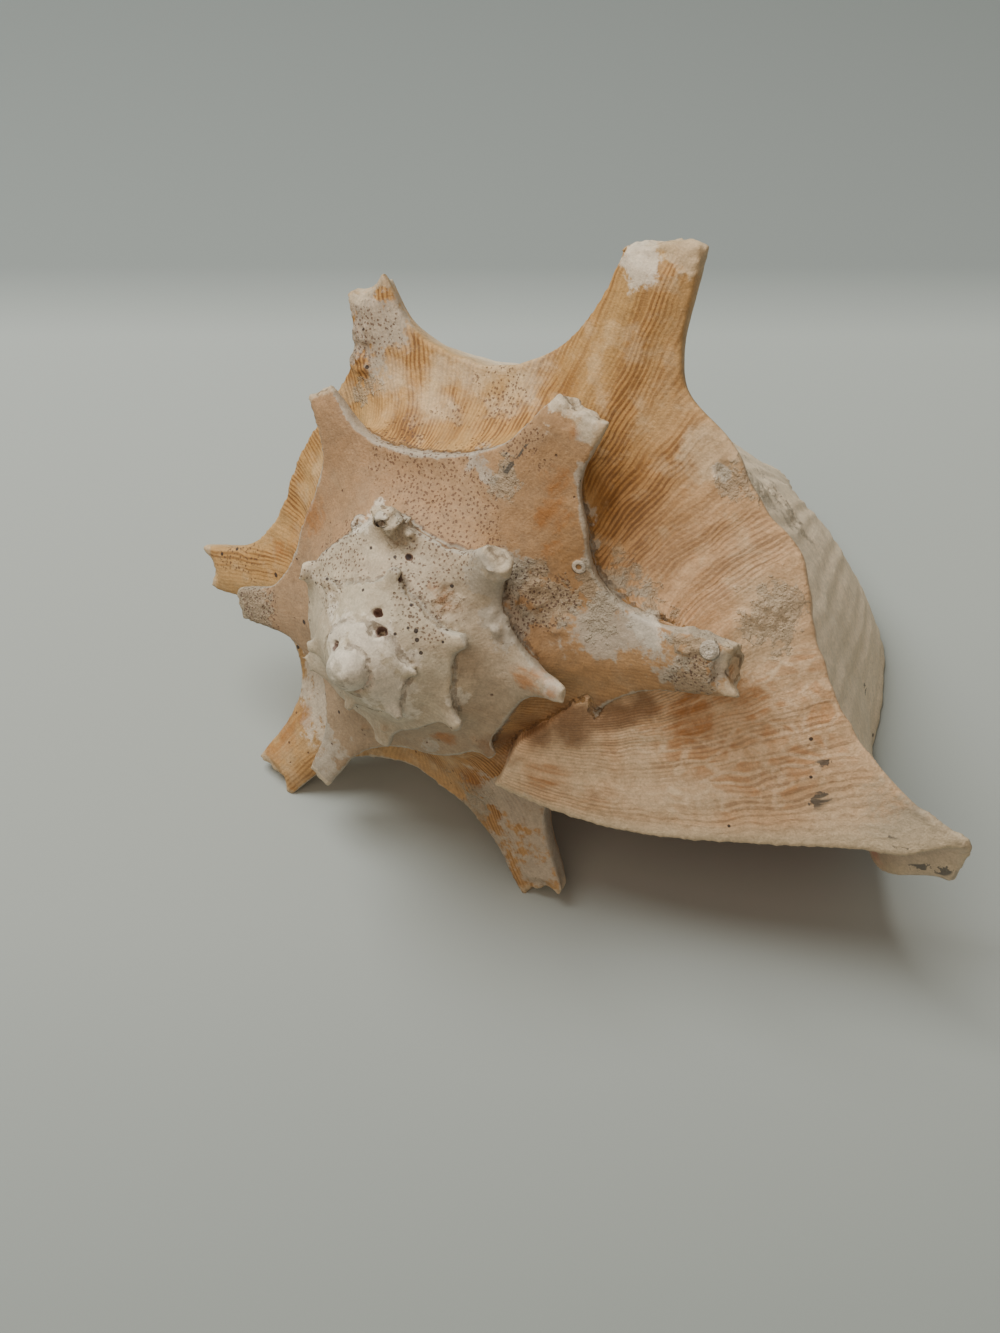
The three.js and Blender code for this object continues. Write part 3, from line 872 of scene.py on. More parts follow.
# %% Where the patches lie
PAINT = {
    "grey": {
        "tall horn": (365, 320, 12), "crest of the ramp": (583, 430, 4), "along it": (584, 470, 4),
        "further down it": (586, 510, 4), "its lower end": (590, 555, 4), "saddle": (480, 460, 6),
        "glaze on the knob": (503, 585, 10), "glaze above it": (497, 560, 8),
        "glaze under it": (508, 620, 7), "root of the long horn": (600, 625, 12),
        "long horn": (660, 655, 9), "beside the suture": (640, 635, 8), "blister": (429, 745, 4),
        "front horn": (520, 810, 15), "front horn's middle": (530, 850, 15),
        "front horn's tip": (535, 870, 12), "front horn's root": (500, 790, 8), "low horn": (328, 735, 10),
        "low horn's end": (322, 770, 10), "long horn's rim": (720, 672, 6),
        "left of the nub": (298, 700, 6), "shoulder": (790, 480, 8),
    },
    "stain": {
        "low left horn": (272, 752, 8), "low left horn's side": (287, 728, 7), "above it": (300, 715, 6),
        "left horn's break": (207, 542, 4), "long horn's core": (737, 668, 3),
        "front horn's break": (545, 890, 4), "eroded hollow": (446, 602, 6),
        "hollow's upper end": (434, 588, 4), "front patch": (470, 780, 7),
        "beside the blister": (443, 737, 4), "fleck": (556, 543, 2), "wide fleck": (548, 553, 3),
        "horn's flank": (560, 480, 5), "horn's root": (552, 510, 6), "above the break": (574, 430, 3),
        "under the long horn": (735, 700, 10), "lip by the suture": (690, 712, 9),
        "lip's corner": (548, 778, 7), "second horn": (535, 680, 7), "left ramp": (315, 520, 7),
        "left horn's flank": (290, 540, 8),
    },
    "crust": {
        "by the worm tubes": (400, 533, 5), "eroded hollow": (446, 602, 6),
        "right of the knob": (537, 590, 8), "right of it": (552, 606, 7),
        "end of the long horn": (700, 668, 10), "below the break": (690, 690, 7),
        "above the worm ring": (700, 640, 8), "along the suture": (655, 610, 6),
        "shoulder": (760, 490, 10), "far shoulder": (790, 515, 9), "shoulder's ramp": (745, 478, 8),
        "ramp's patch": (772, 615, 9), "front patch": (472, 790, 8), "its lower end": (480, 812, 6),
        "beside the saddle": (505, 470, 7), "tall horn's left": (352, 345, 6),
        "tall horn's root": (366, 385, 6), "dark root": (590, 590, 12), "left horn's end": (250, 600, 9),
        "white top": (668, 238, 7),
    },
    "bleached": {
        "chip on the ramp": (725, 474, 3), "white top": (664, 240, 11), "white top's right": (688, 236, 7),
        "white top's left": (640, 254, 8), "pale break": (365, 282, 8), "tip of the thumb": (572, 403, 8),
        "second horn's tip": (560, 692, 6), "small horn's tip": (458, 698, 5),
        "spire's small horn": (408, 662, 4), "ramp of the long horn": (645, 628, 7),
        "under the worm ring": (712, 655, 4), "nub": (322, 690, 14), "worm tubes": (372, 519, 6),
        "spire": (360, 640, 14), "spire's right side": (390, 690, 12), "small left horn": (308, 570, 4),
    },
    "pitted": {
        "upper field": (425, 478, 17), "middle field": (440, 500, 17), "right field": (470, 515, 12),
        "low field": (445, 545, 10), "field by the knob": (430, 565, 10), "spire's right": (420, 625, 9),
        "left field": (330, 560, 12), "left horn's end": (258, 598, 9), "left horn": (240, 555, 9),
        "knob's right": (540, 600, 10), "long horn": (695, 680, 9), "shoulder": (775, 490, 10),
        "tall horn": (365, 330, 9), "saddle": (500, 395, 9), "thumb": (520, 450, 8),
    },
    "scratched": {
        "lip's dark scratches": (817, 806, 3), "above them": (822, 795, 2), "wing's edge": (900, 842, 4),
        "wing's underside": (915, 862, 4), "wing's lower corner": (945, 876, 4),
        "black stain": (511, 461, 4), "above the stain": (518, 450, 3), "beside the flange": (826, 760, 2),
        "flange": (865, 690, 2),
    },
    "ochre": {
        "ramp by the long horn": (648, 575, 20), "above it": (640, 520, 20),
        "towards the shoulder": (700, 545, 18), "beside the thumb": (625, 470, 14),
        "above the right": (690, 590, 12), "under the left saddle": (455, 432, 6),
        "left ramp": (405, 420, 7), "right of the saddle": (560, 385, 8),
    },
    "celled": {
        "under the long horn": (735, 720, 18), "right of it": (785, 745, 20), "left of it": (690, 735, 14),
        "towards the edge": (730, 785, 14), "by the shoulder": (800, 700, 16),
    },
    "chalky": {
        "saddle": (480, 380, 9), "saddle's right": (525, 380, 9), "saddle's left": (440, 372, 7),
        "tall horn's right": (395, 330, 7), "tall horn's foot": (385, 375, 7), "left ramp": (430, 400, 8),
        "shoulder by the tall horn": (715, 455, 10), "far shoulder": (800, 505, 9),
        "lip's corner": (505, 775, 7), "lip's left": (575, 760, 12), "lip's middle": (640, 760, 13),
        "lip's right": (700, 800, 13), "lip's edge": (640, 800, 10), "wing": (850, 815, 12),
        "flange": (850, 640, 16), "low flange": (860, 720, 14), "upper flange": (835, 550, 12),
        "small horn": (455, 690, 6), "nub's side": (318, 700, 6), "long horn's end": (728, 690, 6),
        "ramp above the lip": (770, 650, 10), "ramp's right": (760, 590, 10),
    },
    # painted shade: dark brown where the whorl lies in shade in the notch just above the lip
    "painted_notch_shade": {
        "notch under the second horn": (505, 738, 8), "beside it": (535, 733, 8),
        "along the lip": (570, 725, 8), "further along": (610, 718, 7), "end of the shade": (645, 708, 6),
    },
    "wing": {"underside of the wing": (925, 865, 30)},
}
print(sum(len(blobs) for blobs in PAINT.values()), "patches in", len(PAINT), "fields")

# %% [markdown]
# What the finish needs to know is kept on the vertices of the final mesh: the length grown and the way
# across, for the direction of growth lines, and the soft fields, from 0 to 1. Four more fields come from the
# shape itself: the worn crest of the shoulder, the glazed inside, the broken ends, and the seam along the
# suture. The wing is so thin that some of its upper skin finds the inner wall as its nearest, so skin that
# faces up near the shoulder is never glazed. The material sharpens these fields with noise, all but the
# glaze.

# %% Soft fields
RAGGED_BLOB = 0.5
CREST_WIDTH, YOUNG_CREST = 0.05, 0.15
UPPER_SIDE = 1.08                  # the way across up to which the skin that faces up is the outside
CORE_GLAZE = dict(across=(1.10, 1.18), turn=(-520, -480))           # the part of the old whorls in the mouth

shell_points = read(shell_mesh, "co", 3) / MM
turn, across, inner, old = growth_values(shell_points * MM)
shell_tree = sight_tree(shell_mesh)
painted = {}
for field, blobs in PAINT.items():
    total = np.zeros(len(shell_points))
    for centre, _, radius in found(shell_tree, blobs):
        total = np.maximum(total, ease(spread(shell_points, centre, radius, RAGGED_BLOB), 1.5, 0.1))
    painted[field] = total

broken = np.zeros(len(shell_points))
for tip, direction, radius, *_ in TIPS:
    near = at_tip(shell_points, tip, direction, radius)[0]
    away_from_tip = np.linalg.norm(shell_points - tip, axis=1)
    broken = np.maximum(broken, near * ease(away_from_tip, 2.2 * radius, radius))
crest = hump(across, CREST_WIDTH) * mix(YOUNG_CREST, 1, old)
upward = ease(read(shell_mesh, "normal", 3)[:, 2], 0.0, 0.3) * (across < UPPER_SIDE)
core_glaze = old * ease(across, *CORE_GLAZE["across"]) * ease(turn, *CORE_GLAZE["turn"])
glazed = np.maximum(inner * (1 - upward), core_glaze)
fields = {
    "turn": turn,
    "across": across,
    "length": length_grown(turn),
    "old": old,
    "glazed": glazed,
    "crest": crest * (1 - glazed),
    "broken": broken,
    "seam": suture_line(shell_mesh, turn) * (1 - glazed),
    **painted,
}
for name, values in fields.items():
    keep(shell_mesh, name, values)
print(len(fields), "fields after", round(time.time() - started, 1), "s")

# %% [markdown]
# Boring sponges and snails leave round holes with sharp rims, many of them smaller than the mesh can hold.
# Those are drawn by the material, as small balls of dark colour whose centres are points of the skin. The
# larger bores are real holes in the mesh, and a ball half way down each one darkens its bottom.

# %% Bored pits
PITS = {
    "right of the knob's foot": (452, 586, 0.55), "first of the row": (408, 628, 0.45),
    "second of the row": (416, 631, 0.6), "third of the row": (417, 640, 0.6),
    "fourth of the row": (421, 653, 0.55), "fin's pit": (447, 630, 0.5), "under the fin": (443, 642, 0.4),
    "by the cavity": (395, 634, 0.45), "left corner": (304, 622, 0.75), "left low": (298, 647, 0.75),
    "above the reddish bore": (408, 557, 0.9), "beside it": (395, 557, 0.5),
    "left of the tubes": (327, 550, 0.5), "below the tubes": (371, 548, 0.5),
    "left horn's corner": (327, 579, 0.5), "beside the corner": (336, 581, 0.5),
    "under the horn": (316, 583, 0.5), "middle of the whorl": (411, 605, 0.5),
    "left of the bore": (363, 590, 0.45), "nub's right": (357, 707, 0.5), "nub's foot": (339, 712, 0.5),
    "left end of the left horn": (222, 554, 0.6), "its middle": (237, 549, 0.6),
    "its root": (276, 575, 0.8), "its upper side": (243, 531, 0.5), "lip's edge": (729, 826, 0.5),
    "flange's edge": (873, 735, 0.6), "lip's pit": (811, 777, 0.5), "lip's upper pit": (811, 739, 0.6),
    "tall horn's pit": (363, 329, 0.5), "tall horn's low pit": (367, 367, 0.6),
    "tall horn's left": (355, 350, 0.4),
}
SHALLOW = -1.5                     # a hole less deep than this keeps the colour of the shell
pit_spots = [(centre, radius) for centre, _, radius in found(shell_tree, PITS)]
bore_spots = [(centre + 0.5 * depth * normal, math.hypot(radius, 0.5 * depth))
              for centre, normal, radius, depth in holes if depth < SHALLOW]
print(len(pit_spots), "pits and", len(bore_spots), "bores to colour")

# %% [markdown]
# The finish is one material, because the shell is one thing: aragonite, a crystal form of chalk, laid down
# in sheets. Fresh it is glazed like porcelain, and inside it still is, in pink. Outside the glaze has gone,
# so it is matt, and the colour that is left lies in streaks along the growth lines.
#
# It could be painted on a texture, but the streaks follow the growth of the shell, which the vertices
# know. So the streaks are waves and noise on length grown and way across, drawn out along the growth lines.

# %% Helpers for the finish
def shade(hex_colour):
    """A linear colour from an sRGB hex value."""
    channels = [int(hex_colour[i:i + 2], 16) / 255 for i in (1, 3, 5)]
    return [c / 12.92 if c <= 0.04045 else ((c + 0.055) / 1.055) ** 2.4 for c in channels] + [1.0]


def node(tree, kind, links=None, out=0, stops=None, **settings):
    """Adds a node with its settings, links or socket values, and colour stops, and gives its output."""
    made = tree.nodes.new("ShaderNode" + kind)
    for name, value in settings.items():
        setattr(made, name, value)
    for socket, value in (links or {}).items():
        if isinstance(value, bpy.types.NodeSocket):
            tree.links.new(value, made.inputs[socket])
        else:
            made.inputs[socket].default_value = value
    if stops:
        ramp = made.color_ramp
        while len(ramp.elements) < len(stops):
            ramp.elements.new(0.5)
        for element, (position, colour) in zip(ramp.elements, stops):
            element.position = position
            element.color = shade(colour)
    return made.outputs[out]


print("node helpers ready")

# %% [markdown]
# First the parts that all later cells of the finish share: the fields of the vertices, the place on the
# shell in millimetres, and four noises. Fresh aragonite would need only the colours of its growth. Weather
# adds chalky grain, ragged edges and clouds, and the growth lines themselves drift a little. The colours
# of the body are given by growth angle: pale and worn at the apex, tan on the last whorl, paler at the lip.

# %% Weathered aragonite
STREAK_MM = 1.25                   # a growth line every 1 to 1.5 mm, as counted on the ramp
TUFT_MM, BAND_MM, CELL_MM = 2.8, 13.0, 3.0
RAGGED_MM = 2.2
GRAIN_MM = 0.6                     # chalky grain is finer, and is drawn as coarse as it needs to show
CLOUD_MM, DRIFT_MM = 7.0, 9.0
PIT_MM, SPARSE_PIT_MM = 1.0, 6.5
AGES = [(-1640, "#BCB092"), (-1150, "#C6BB9F"), (-740, "#C6B99D"), (-640, "#B8A88C"), (-520, "#A69072"),
        (-440, "#AC8963"), (-330, "#AE8A60"), (-240, "#B48E5E"), (-150, "#C6A068"), (-20, "#C49E62"),
        (22, "#B99358"), (52, "#DDB687"), (95, "#E6C69C")]

aragonite = bpy.data.materials.new("aragonite_grown_and_weathered")
aragonite.use_nodes = True
tree = aragonite.node_tree
tree.nodes.clear()
where = {name: node(tree, "Attribute", attribute_name=name, out="Fac") for name in fields}
place_mm = node(tree, "VectorMath", {0: node(tree, "TexCoord", out="Object"), "Scale": 1 / MM},
                operation="SCALE")
ragged = node(tree, "TexNoise", {"Vector": place_mm, "Scale": 1 / RAGGED_MM, "Detail": 5.0,
                                 "Roughness": 0.65})
grain = node(tree, "TexNoise", {"Vector": place_mm, "Scale": 1 / GRAIN_MM, "Detail": 3.0, "Roughness": 0.6})
cloud = node(tree, "TexNoise", {"Vector": place_mm, "Scale": 1 / CLOUD_MM, "Detail": 5.0, "Roughness": 0.6})
drift = node(tree, "TexNoise", {"Vector": place_mm, "Scale": 1 / DRIFT_MM, "Detail": 1.0})
print("body colours for", len(AGES), "ages")

# %% [markdown]
# Streaks first. A growth line is laid down every millimetre or so, so a wave runs along the length grown,
# which a slow noise makes drift. Tufts of noise, drawn out along the lines, let lines fade and come
# back, and broad bands make some seasons darker than others. The young whorls have lost most of their
# colour, and below the shoulder the colour is weak, because the lip has a pale glaze over it.

# %% Streaks along the growth lines
LINE_DRIFT = 2.4                   # mm that the lines wander
RIPPLE = 0.15                      # how much the even ripple counts against the tufts
COLOUR_KEPT = (-290.0, -225.0)     # growth angles from which on the shell has kept its colour
RAMP_END = (0.94, 1.04)            # places across the whorl between which the ramp ends
DRAWN_OUT = {"tuft": (TUFT_MM, 2.6), "band": (BAND_MM, 1.7), "cell": (CELL_MM, 10.0)}
wavering = node(tree, "Math", {0: drift, 1: LINE_DRIFT, 2: where["length"]}, operation="MULTIPLY_ADD")
phase = node(tree, "Math", {0: wavering, 1: 2 * math.pi / STREAK_MM}, operation="MULTIPLY")
ripple = node(tree, "Math", {0: phase}, operation="SINE")
drawn_out = {}
for name, (length_mm, crossings) in DRAWN_OUT.items():
    drawn_out[name] = node(tree, "CombineXYZ", {
        0: node(tree, "Math", {0: wavering, 1: 1 / length_mm}, operation="MULTIPLY"),
        1: node(tree, "Math", {0: where["across"], 1: crossings}, operation="MULTIPLY"),
        2: where["old"],
    })
tuft = node(tree, "TexNoise", {"Vector": drawn_out["tuft"], "Scale": 1.0, "Detail": 3.0, "Roughness": 0.55})
band = node(tree, "TexNoise", {"Vector": drawn_out["band"], "Scale": 1.0, "Detail": 3.0, "Roughness": 0.5})
tone = node(tree, "Math", {0: ripple, 1: RIPPLE, 2: tuft}, operation="MULTIPLY_ADD")
lines = node(tree, "MapRange", {0: tone, 1: 0.42, 2: 0.63}, interpolation_type="SMOOTHSTEP")
bands = node(tree, "MapRange", {0: band, 1: 0.36, 2: 0.62, 3: 0.2, 4: 1.0}, interpolation_type="SMOOTHSTEP")
young = node(tree, "MapRange", {0: where["turn"], 1: COLOUR_KEPT[0], 2: COLOUR_KEPT[1], 3: 0.12, 4: 1.0})
on_ramp = node(tree, "MapRange", {0: where["across"], 1: RAMP_END[0], 2: RAMP_END[1], 3: 1.0, 4: 0.25})
coloured = node(tree, "Math", {0: young, 1: on_ramp}, operation="MULTIPLY")
warmth = node(tree, "Math", {0: bands, 1: coloured}, operation="MULTIPLY")
streaked = node(tree, "Math", {0: lines, 1: warmth}, operation="MULTIPLY")
print("streaks every", STREAK_MM, "mm")

# %% [markdown]
# The soft fields get their real edges here: noise of two sizes is added to each field, and a step cuts it.
# Each field says where its step starts and ends, and how strongly the noise frays it. Bleached patches end
# in ragged lines, while the painted shade in the notch or an ochre tint has hardly any edge. Stains fade out
# along the growth lines.

# %% Edges of the worn patches
EDGES = {
    "grey": (0.42, 0.74, 1.5), "stain": (0.35, 1.00, 1.3), "crust": (0.45, 0.70, 2.0),
    "scratched": (0.55, 0.66, 2.6), "bleached": (0.40, 0.75, 1.6), "crest": (0.35, 0.75, 1.0),
    "broken": (0.40, 0.65, 0.8), "pitted": (0.30, 0.65, 1.6), "painted_notch_shade": (0.20, 1.00, 1.0),
    "wing": (0.30, 0.60, 0.4), "ochre": (0.10, 1.00, 0.8), "celled": (0.20, 0.80, 1.2),
    "chalky": (0.10, 1.10, 1.1),
}
CLOUD_FRAY = 1.4                   # how much the large noise counts against the fine one
sharp = {}
fine_fray = node(tree, "Math", {0: ragged, 1: 0.5}, operation="SUBTRACT")
fray = node(tree, "Math", {0: cloud, 1: CLOUD_FRAY, 2: -CLOUD_FRAY / 2}, operation="MULTIPLY_ADD")
fray = node(tree, "Math", {0: fine_fray, 1: fray}, operation="ADD")
for name, (low, high, strength) in EDGES.items():
    frayed = node(tree, "Math", {0: fray, 1: strength, 2: where[name]}, operation="MULTIPLY_ADD")
    present = node(tree, "MapRange", {0: where[name], 1: 0.05, 2: 0.3})
    step = node(tree, "MapRange", {0: frayed, 1: low, 2: high}, interpolation_type="SMOOTHSTEP")
    sharp[name] = node(tree, "Math", {0: step, 1: present}, operation="MULTIPLY")
along_lines = node(tree, "MapRange", {0: tuft, 1: 0.35, 2: 0.60, 3: 0.25, 4: 1.0})
streaky_stain = node(tree, "Math", {0: sharp["stain"], 1: along_lines}, operation="MULTIPLY")
streaky_ochre = node(tree, "Math", {0: sharp["ochre"], 1: along_lines}, operation="MULTIPLY")
dashes = node(tree, "MapRange", {0: tuft, 1: 0.50, 2: 0.54})
dashes = node(tree, "Math", {0: sharp["scratched"], 1: dashes}, operation="MULTIPLY")
print("edges for", len(sharp), "kinds of patch")

# %% [markdown]
# Pits are the mark of a shell that has lain in the sea. The finest are a millimetre apart and lie in fields,
# others lie scattered on the old whorls, and the ones with a place of their own come from the list above. A
# cell texture gives the fine ones: each cell has a dot whose size changes with the grain. The ones with a
# place are distances to points, and so are the pale rims of the worm tubes.

# %% Pits, bores and tubes
FAR = 9.0                          # more than any distance that shows, in radii or mm
unglazed = node(tree, "Math", {0: 1.0, 1: where["glazed"]}, operation="SUBTRACT")
pits = node(tree, "TexVoronoi", {"Vector": place_mm, "Scale": 1 / PIT_MM}, out="Distance")
sparse = node(tree, "TexVoronoi", {"Vector": place_mm, "Scale": 1 / SPARSE_PIT_MM}, out="Distance")
pit_size = node(tree, "MapRange", {0: grain, 1: 0.35, 2: 0.65, 3: 0.10, 4: 0.50})
pit_dots = node(tree, "Math", {0: pits, 1: pit_size}, operation="LESS_THAN")
pit_dots = node(tree, "Math", {0: pit_dots, 1: sharp["pitted"]}, operation="MULTIPLY")
sparse_dots = node(tree, "MapRange", {0: sparse, 1: 0.04, 2: 0.07, 3: 1.0, 4: 0.0})
sparse_dots = node(tree, "Math", {0: sparse_dots, 1: where["old"]}, operation="MULTIPLY")
dots = node(tree, "Math", {0: pit_dots, 1: sparse_dots}, operation="MAXIMUM")
dots = node(tree, "Math", {0: dots, 1: unglazed}, operation="MULTIPLY")
bored = {}
for name, spots in (("pit", pit_spots), ("bore", bore_spots)):
    nearest = FAR
    for spot, radius in spots:
        off = node(tree, "VectorMath", {0: place_mm, 1: spot}, operation="DISTANCE", out="Value")
        in_radii = node(tree, "Math", {0: off, 1: 1 / radius}, operation="MULTIPLY")
        nearest = node(tree, "Math", {0: in_radii, 1: nearest}, operation="MINIMUM")
    uneven = node(tree, "Math", {0: fine_fray, 1: 0.8, 2: nearest}, operation="MULTIPLY_ADD")
    bored[name] = node(tree, "MapRange", {0: uneven, 1: 0.85, 2: 1.05, 3: 1.0, 4: 0.0})
nearest = FAR
for centre, _, radius, _ in rings:
    off = node(tree, "VectorMath", {0: place_mm, 1: centre}, operation="DISTANCE", out="Value")
    off = node(tree, "Math", {0: off, 1: radius}, operation="SUBTRACT")
    off = node(tree, "Math", {0: off}, operation="ABSOLUTE")
    nearest = node(tree, "Math", {0: off, 1: nearest}, operation="MINIMUM")
tubes = node(tree, "MapRange", {0: nearest, 1: 0.35, 2: 0.75, 3: 1.0, 4: 0.0},
             interpolation_type="SMOOTHSTEP")
print(len(pit_spots), "pits,", len(bore_spots), "bores and", len(rings), "rings in the finish")

# %% [markdown]
# The outside of the lip has brown cells with a pale net between them. A cell texture draws such a net by
# itself, but too evenly: on the shell it shows only in places. So the cells are strong where the photograph
# shows them, and clouds and ragged noise break up the rest.

# %% Cells and net of the lip
LIP_FROM = (36.0, 58.0)            # growth angles between which the lip's own colours come in
lip_part = node(tree, "MapRange", {0: where["turn"], 1: LIP_FROM[0], 2: LIP_FROM[1]})
lip_ramp = node(tree, "Math", {0: lip_part, 1: on_ramp}, operation="MULTIPLY")
side = node(tree, "MapRange", {0: where["across"], 1: 1.00, 2: 1.08})
net = node(tree, "TexVoronoi", {"Vector": drawn_out["cell"], "Scale": 1.0}, out="Distance",
           feature="DISTANCE_TO_EDGE")
inside_cell = node(tree, "MapRange", {0: net, 1: 0.03, 2: 0.18}, interpolation_type="SMOOTHSTEP")
cells = node(tree, "MapRange", {0: cloud, 1: 0.40, 2: 0.60}, interpolation_type="SMOOTHSTEP")
cells = node(tree, "Math", {0: cells, 1: inside_cell}, operation="MULTIPLY")
cell_share = node(tree, "MapRange", {0: sharp["celled"], 3: 0.25, 4: 1.0})
cell_share = node(tree, "Math", {0: cell_share, 1: lip_ramp}, operation="MULTIPLY")
cells = node(tree, "Math", {0: cells, 1: cell_share}, operation="MULTIPLY")
pale_net = node(tree, "Math", {0: 1.0, 1: inside_cell}, operation="SUBTRACT")
pale_net = node(tree, "Math", {0: pale_net, 1: cell_share}, operation="MULTIPLY")
broken_up = node(tree, "MapRange", {0: ragged, 1: 0.42, 2: 0.56}, interpolation_type="SMOOTHSTEP")
pale_net = node(tree, "Math", {0: pale_net, 1: broken_up}, operation="MULTIPLY")
print("cells", CELL_MM, "mm long in the direction of growth")

# %% [markdown]
# The colours go on in layers, as they lie on the shell. The body colour of each age comes first, then the
# colour that the animal laid down: warm bands, ochre, brown streaks, and the pale lip with its cells and
# net. Weather follows: a chalky veil, worn crests, bleached and grey patches, crust, stains and fresh breaks,
# and among them a painted brown shade in the notch above the lip, where the whorl lies in shade. Then come
# the pink glaze, the wing's underside, the rim of the lip, and last the small marks: worm tubes, pits, the
# suture, scratches and bores. Each layer has a strength.

# %% Colours in layers
RIM_FROM = (92.5, 94.2)            # growth angles between which the worn rim of the lip comes in
span = LIP_TURN - FIRST_TURN
age = node(tree, "MapRange", {0: where["turn"], 1: FIRST_TURN, 2: LIP_TURN})
colour = node(tree, "ValToRGB", {0: age}, out="Color",
              stops=[((at - FIRST_TURN) / span, paint) for at, paint in AGES])
pale_clouds = node(tree, "MapRange", {0: cloud, 1: 0.50, 2: 0.68}, interpolation_type="SMOOTHSTEP")
pale_clouds = node(tree, "Math", {0: pale_clouds, 1: coloured}, operation="MULTIPLY")
mottled = node(tree, "MapRange", {0: cloud, 1: 0.35, 2: 0.65}, interpolation_type="SMOOTHSTEP")
old_mottled = node(tree, "Math", {0: mottled, 1: where["old"]}, operation="MULTIPLY")
seam = node(tree, "Math", {0: fine_fray, 1: 0.9, 2: where["seam"]}, operation="MULTIPLY_ADD")
seam = node(tree, "MapRange", {0: seam, 1: 0.90, 2: 1.08}, interpolation_type="SMOOTHSTEP")
rim = node(tree, "MapRange", {0: where["turn"], 1: RIM_FROM[0], 2: RIM_FROM[1]})
LAYERS = [
    (old_mottled, 0.30, "#9A8468"),
    (warmth, 0.50, "#B0741F"),
    (streaky_ochre, 0.65, "#92600F"),
    (streaked, 0.82, "#74480C"),
    (side, 0.85, "#F8E7C6"),
    (pale_clouds, 0.30, "#DEC498"),
    (lip_ramp, 0.30, "#ECCDA6"),
    (cells, 0.50, "#B0702E"),
    (pale_net, 0.40, "#E6CCA8"),
    (sharp["chalky"], 0.45, "#DECAA6"),
    # painted shade: the dark brown in the notch above the lip
    (sharp["painted_notch_shade"], 0.80, "#7E5A34"),
    (sharp["crest"], 0.70, "#B4AC98"),
    (sharp["bleached"], 0.75, "#DCD2BC"),
    (sharp["grey"], 0.70, "#B2AA98"),
    (sharp["crust"], 0.50, "#BAAC90"),
    (streaky_stain, 0.70, "#A0641E"),
    (sharp["broken"], 0.60, "#CCBA98"),
    (where["glazed"], 1.00, "#D87656"),
    (sharp["wing"], 0.85, "#A09780"),
    (rim, 0.80, "#CDBB98"),
    (tubes, 0.70, "#D8CFBA"),
    (dots, 0.75, "#5A3C28"),
    (seam, 0.60, "#5E4A34"),
    (dashes, 0.85, "#46443C"),
    (bored["bore"], 0.85, "#4E2412"),
    (bored["pit"], 0.92, "#2E2018"),
]
for part, strength, paint in LAYERS:
    share = node(tree, "Math", {0: part, 1: strength}, operation="MULTIPLY")
    colour = node(tree, "Mix", {0: share, 6: colour, 7: shade(paint)}, out=2, data_type="RGBA")
MOTTLES = [(grain, 0.84, 1.12), (ragged, 0.84, 1.14)]      # darkest and lightest share of the colour
for pattern, dark, light in MOTTLES:
    uneven = node(tree, "MapRange", {0: pattern, 1: 0.3, 2: 0.7, 3: dark, 4: light})
    colour = node(tree, "VectorMath", {0: colour, "Scale": uneven}, operation="SCALE")
print(len(LAYERS), "layers of colour")

# %% [markdown]
# Depth and gloss. The streaks are ridges of a twentieth of a millimetre, the grain and the ragged wear are
# deeper, crust is coarser still, and the pits go in. The weathered outside scatters light, while the glaze
# inside is nearly as smooth as porcelain. Aragonite bends light more than glass, by 1.53 to 1.69 with the
# direction through the crystal, and 1.6 is about the middle.

# %% Depth and gloss
PIT_DEPTH = -0.35                  # mm, as the depths of the relief below
OUTSIDE_ROUGHNESS, GLAZE_ROUGHNESS, GRAIN_ROUGHNESS = 0.66, 0.26, 0.12
ARAGONITE_IOR = 1.6
crusty = node(tree, "Math", {0: sharp["crust"], 1: fine_fray}, operation="MULTIPLY")
RELIEFS = [(streaked, 0.05), (grain, 0.14), (ragged, 0.30), (crusty, 2.2), (tubes, 0.5)]
height = 0.0
for part, depth in RELIEFS:
    height = node(tree, "Math", {0: part, 1: depth, 2: height}, operation="MULTIPLY_ADD")
height = node(tree, "Math", {0: height, 1: unglazed}, operation="MULTIPLY")
height = node(tree, "Math", {0: dots, 1: PIT_DEPTH, 2: height}, operation="MULTIPLY_ADD")
bump = node(tree, "Bump", {"Strength": 1.0, "Distance": MM, "Height": height}, out="Normal")
roughness = node(tree, "MapRange", {0: where["glazed"], 1: 0.0, 2: 1.0, 3: OUTSIDE_ROUGHNESS,
                                    4: GLAZE_ROUGHNESS})
roughness = node(tree, "Math", {0: grain, 1: GRAIN_ROUGHNESS, 2: roughness}, operation="MULTIPLY_ADD")
surface = node(tree, "BsdfPrincipled",
               {"Base Color": colour, "Roughness": roughness, "Normal": bump, "IOR": ARAGONITE_IOR})
tree.links.new(surface, tree.nodes.new("ShaderNodeOutputMaterial").inputs["Surface"])
shell_mesh.materials.clear()
shell_mesh.materials.append(aragonite)
print(len(tree.nodes), "nodes in the finish")

# %% [markdown]
# The shell lies on a sheet of matt, pale grey paper, which isn't part of it. The paper is a single flat
# square. Its tone changes along one direction of the floor, given in millimetres from the middle of the
# shell towards its back, and this tone is painted light and shade: darker in front as a painted falloff of
# the lamp, palest just behind the shell, and darker further back as a painted shade where a real sheet would
# bend up.

# %% Floor
# painted light and shade: darker in front and far behind, palest just behind the shell
FLOOR_TONES_WITH_PAINTED_SHADE = [(-200, "#8E9690"), (-80, "#9EA59F"), (60, "#A6ADA6"), (176, "#AAB2AC"), (216, "#88908C"),
               (400, "#7F8783")]
FLOOR_FROM, FLOOR_TO = -200.0, 400.0
FLOOR_SIZE = 4                     # m, from the middle to each side

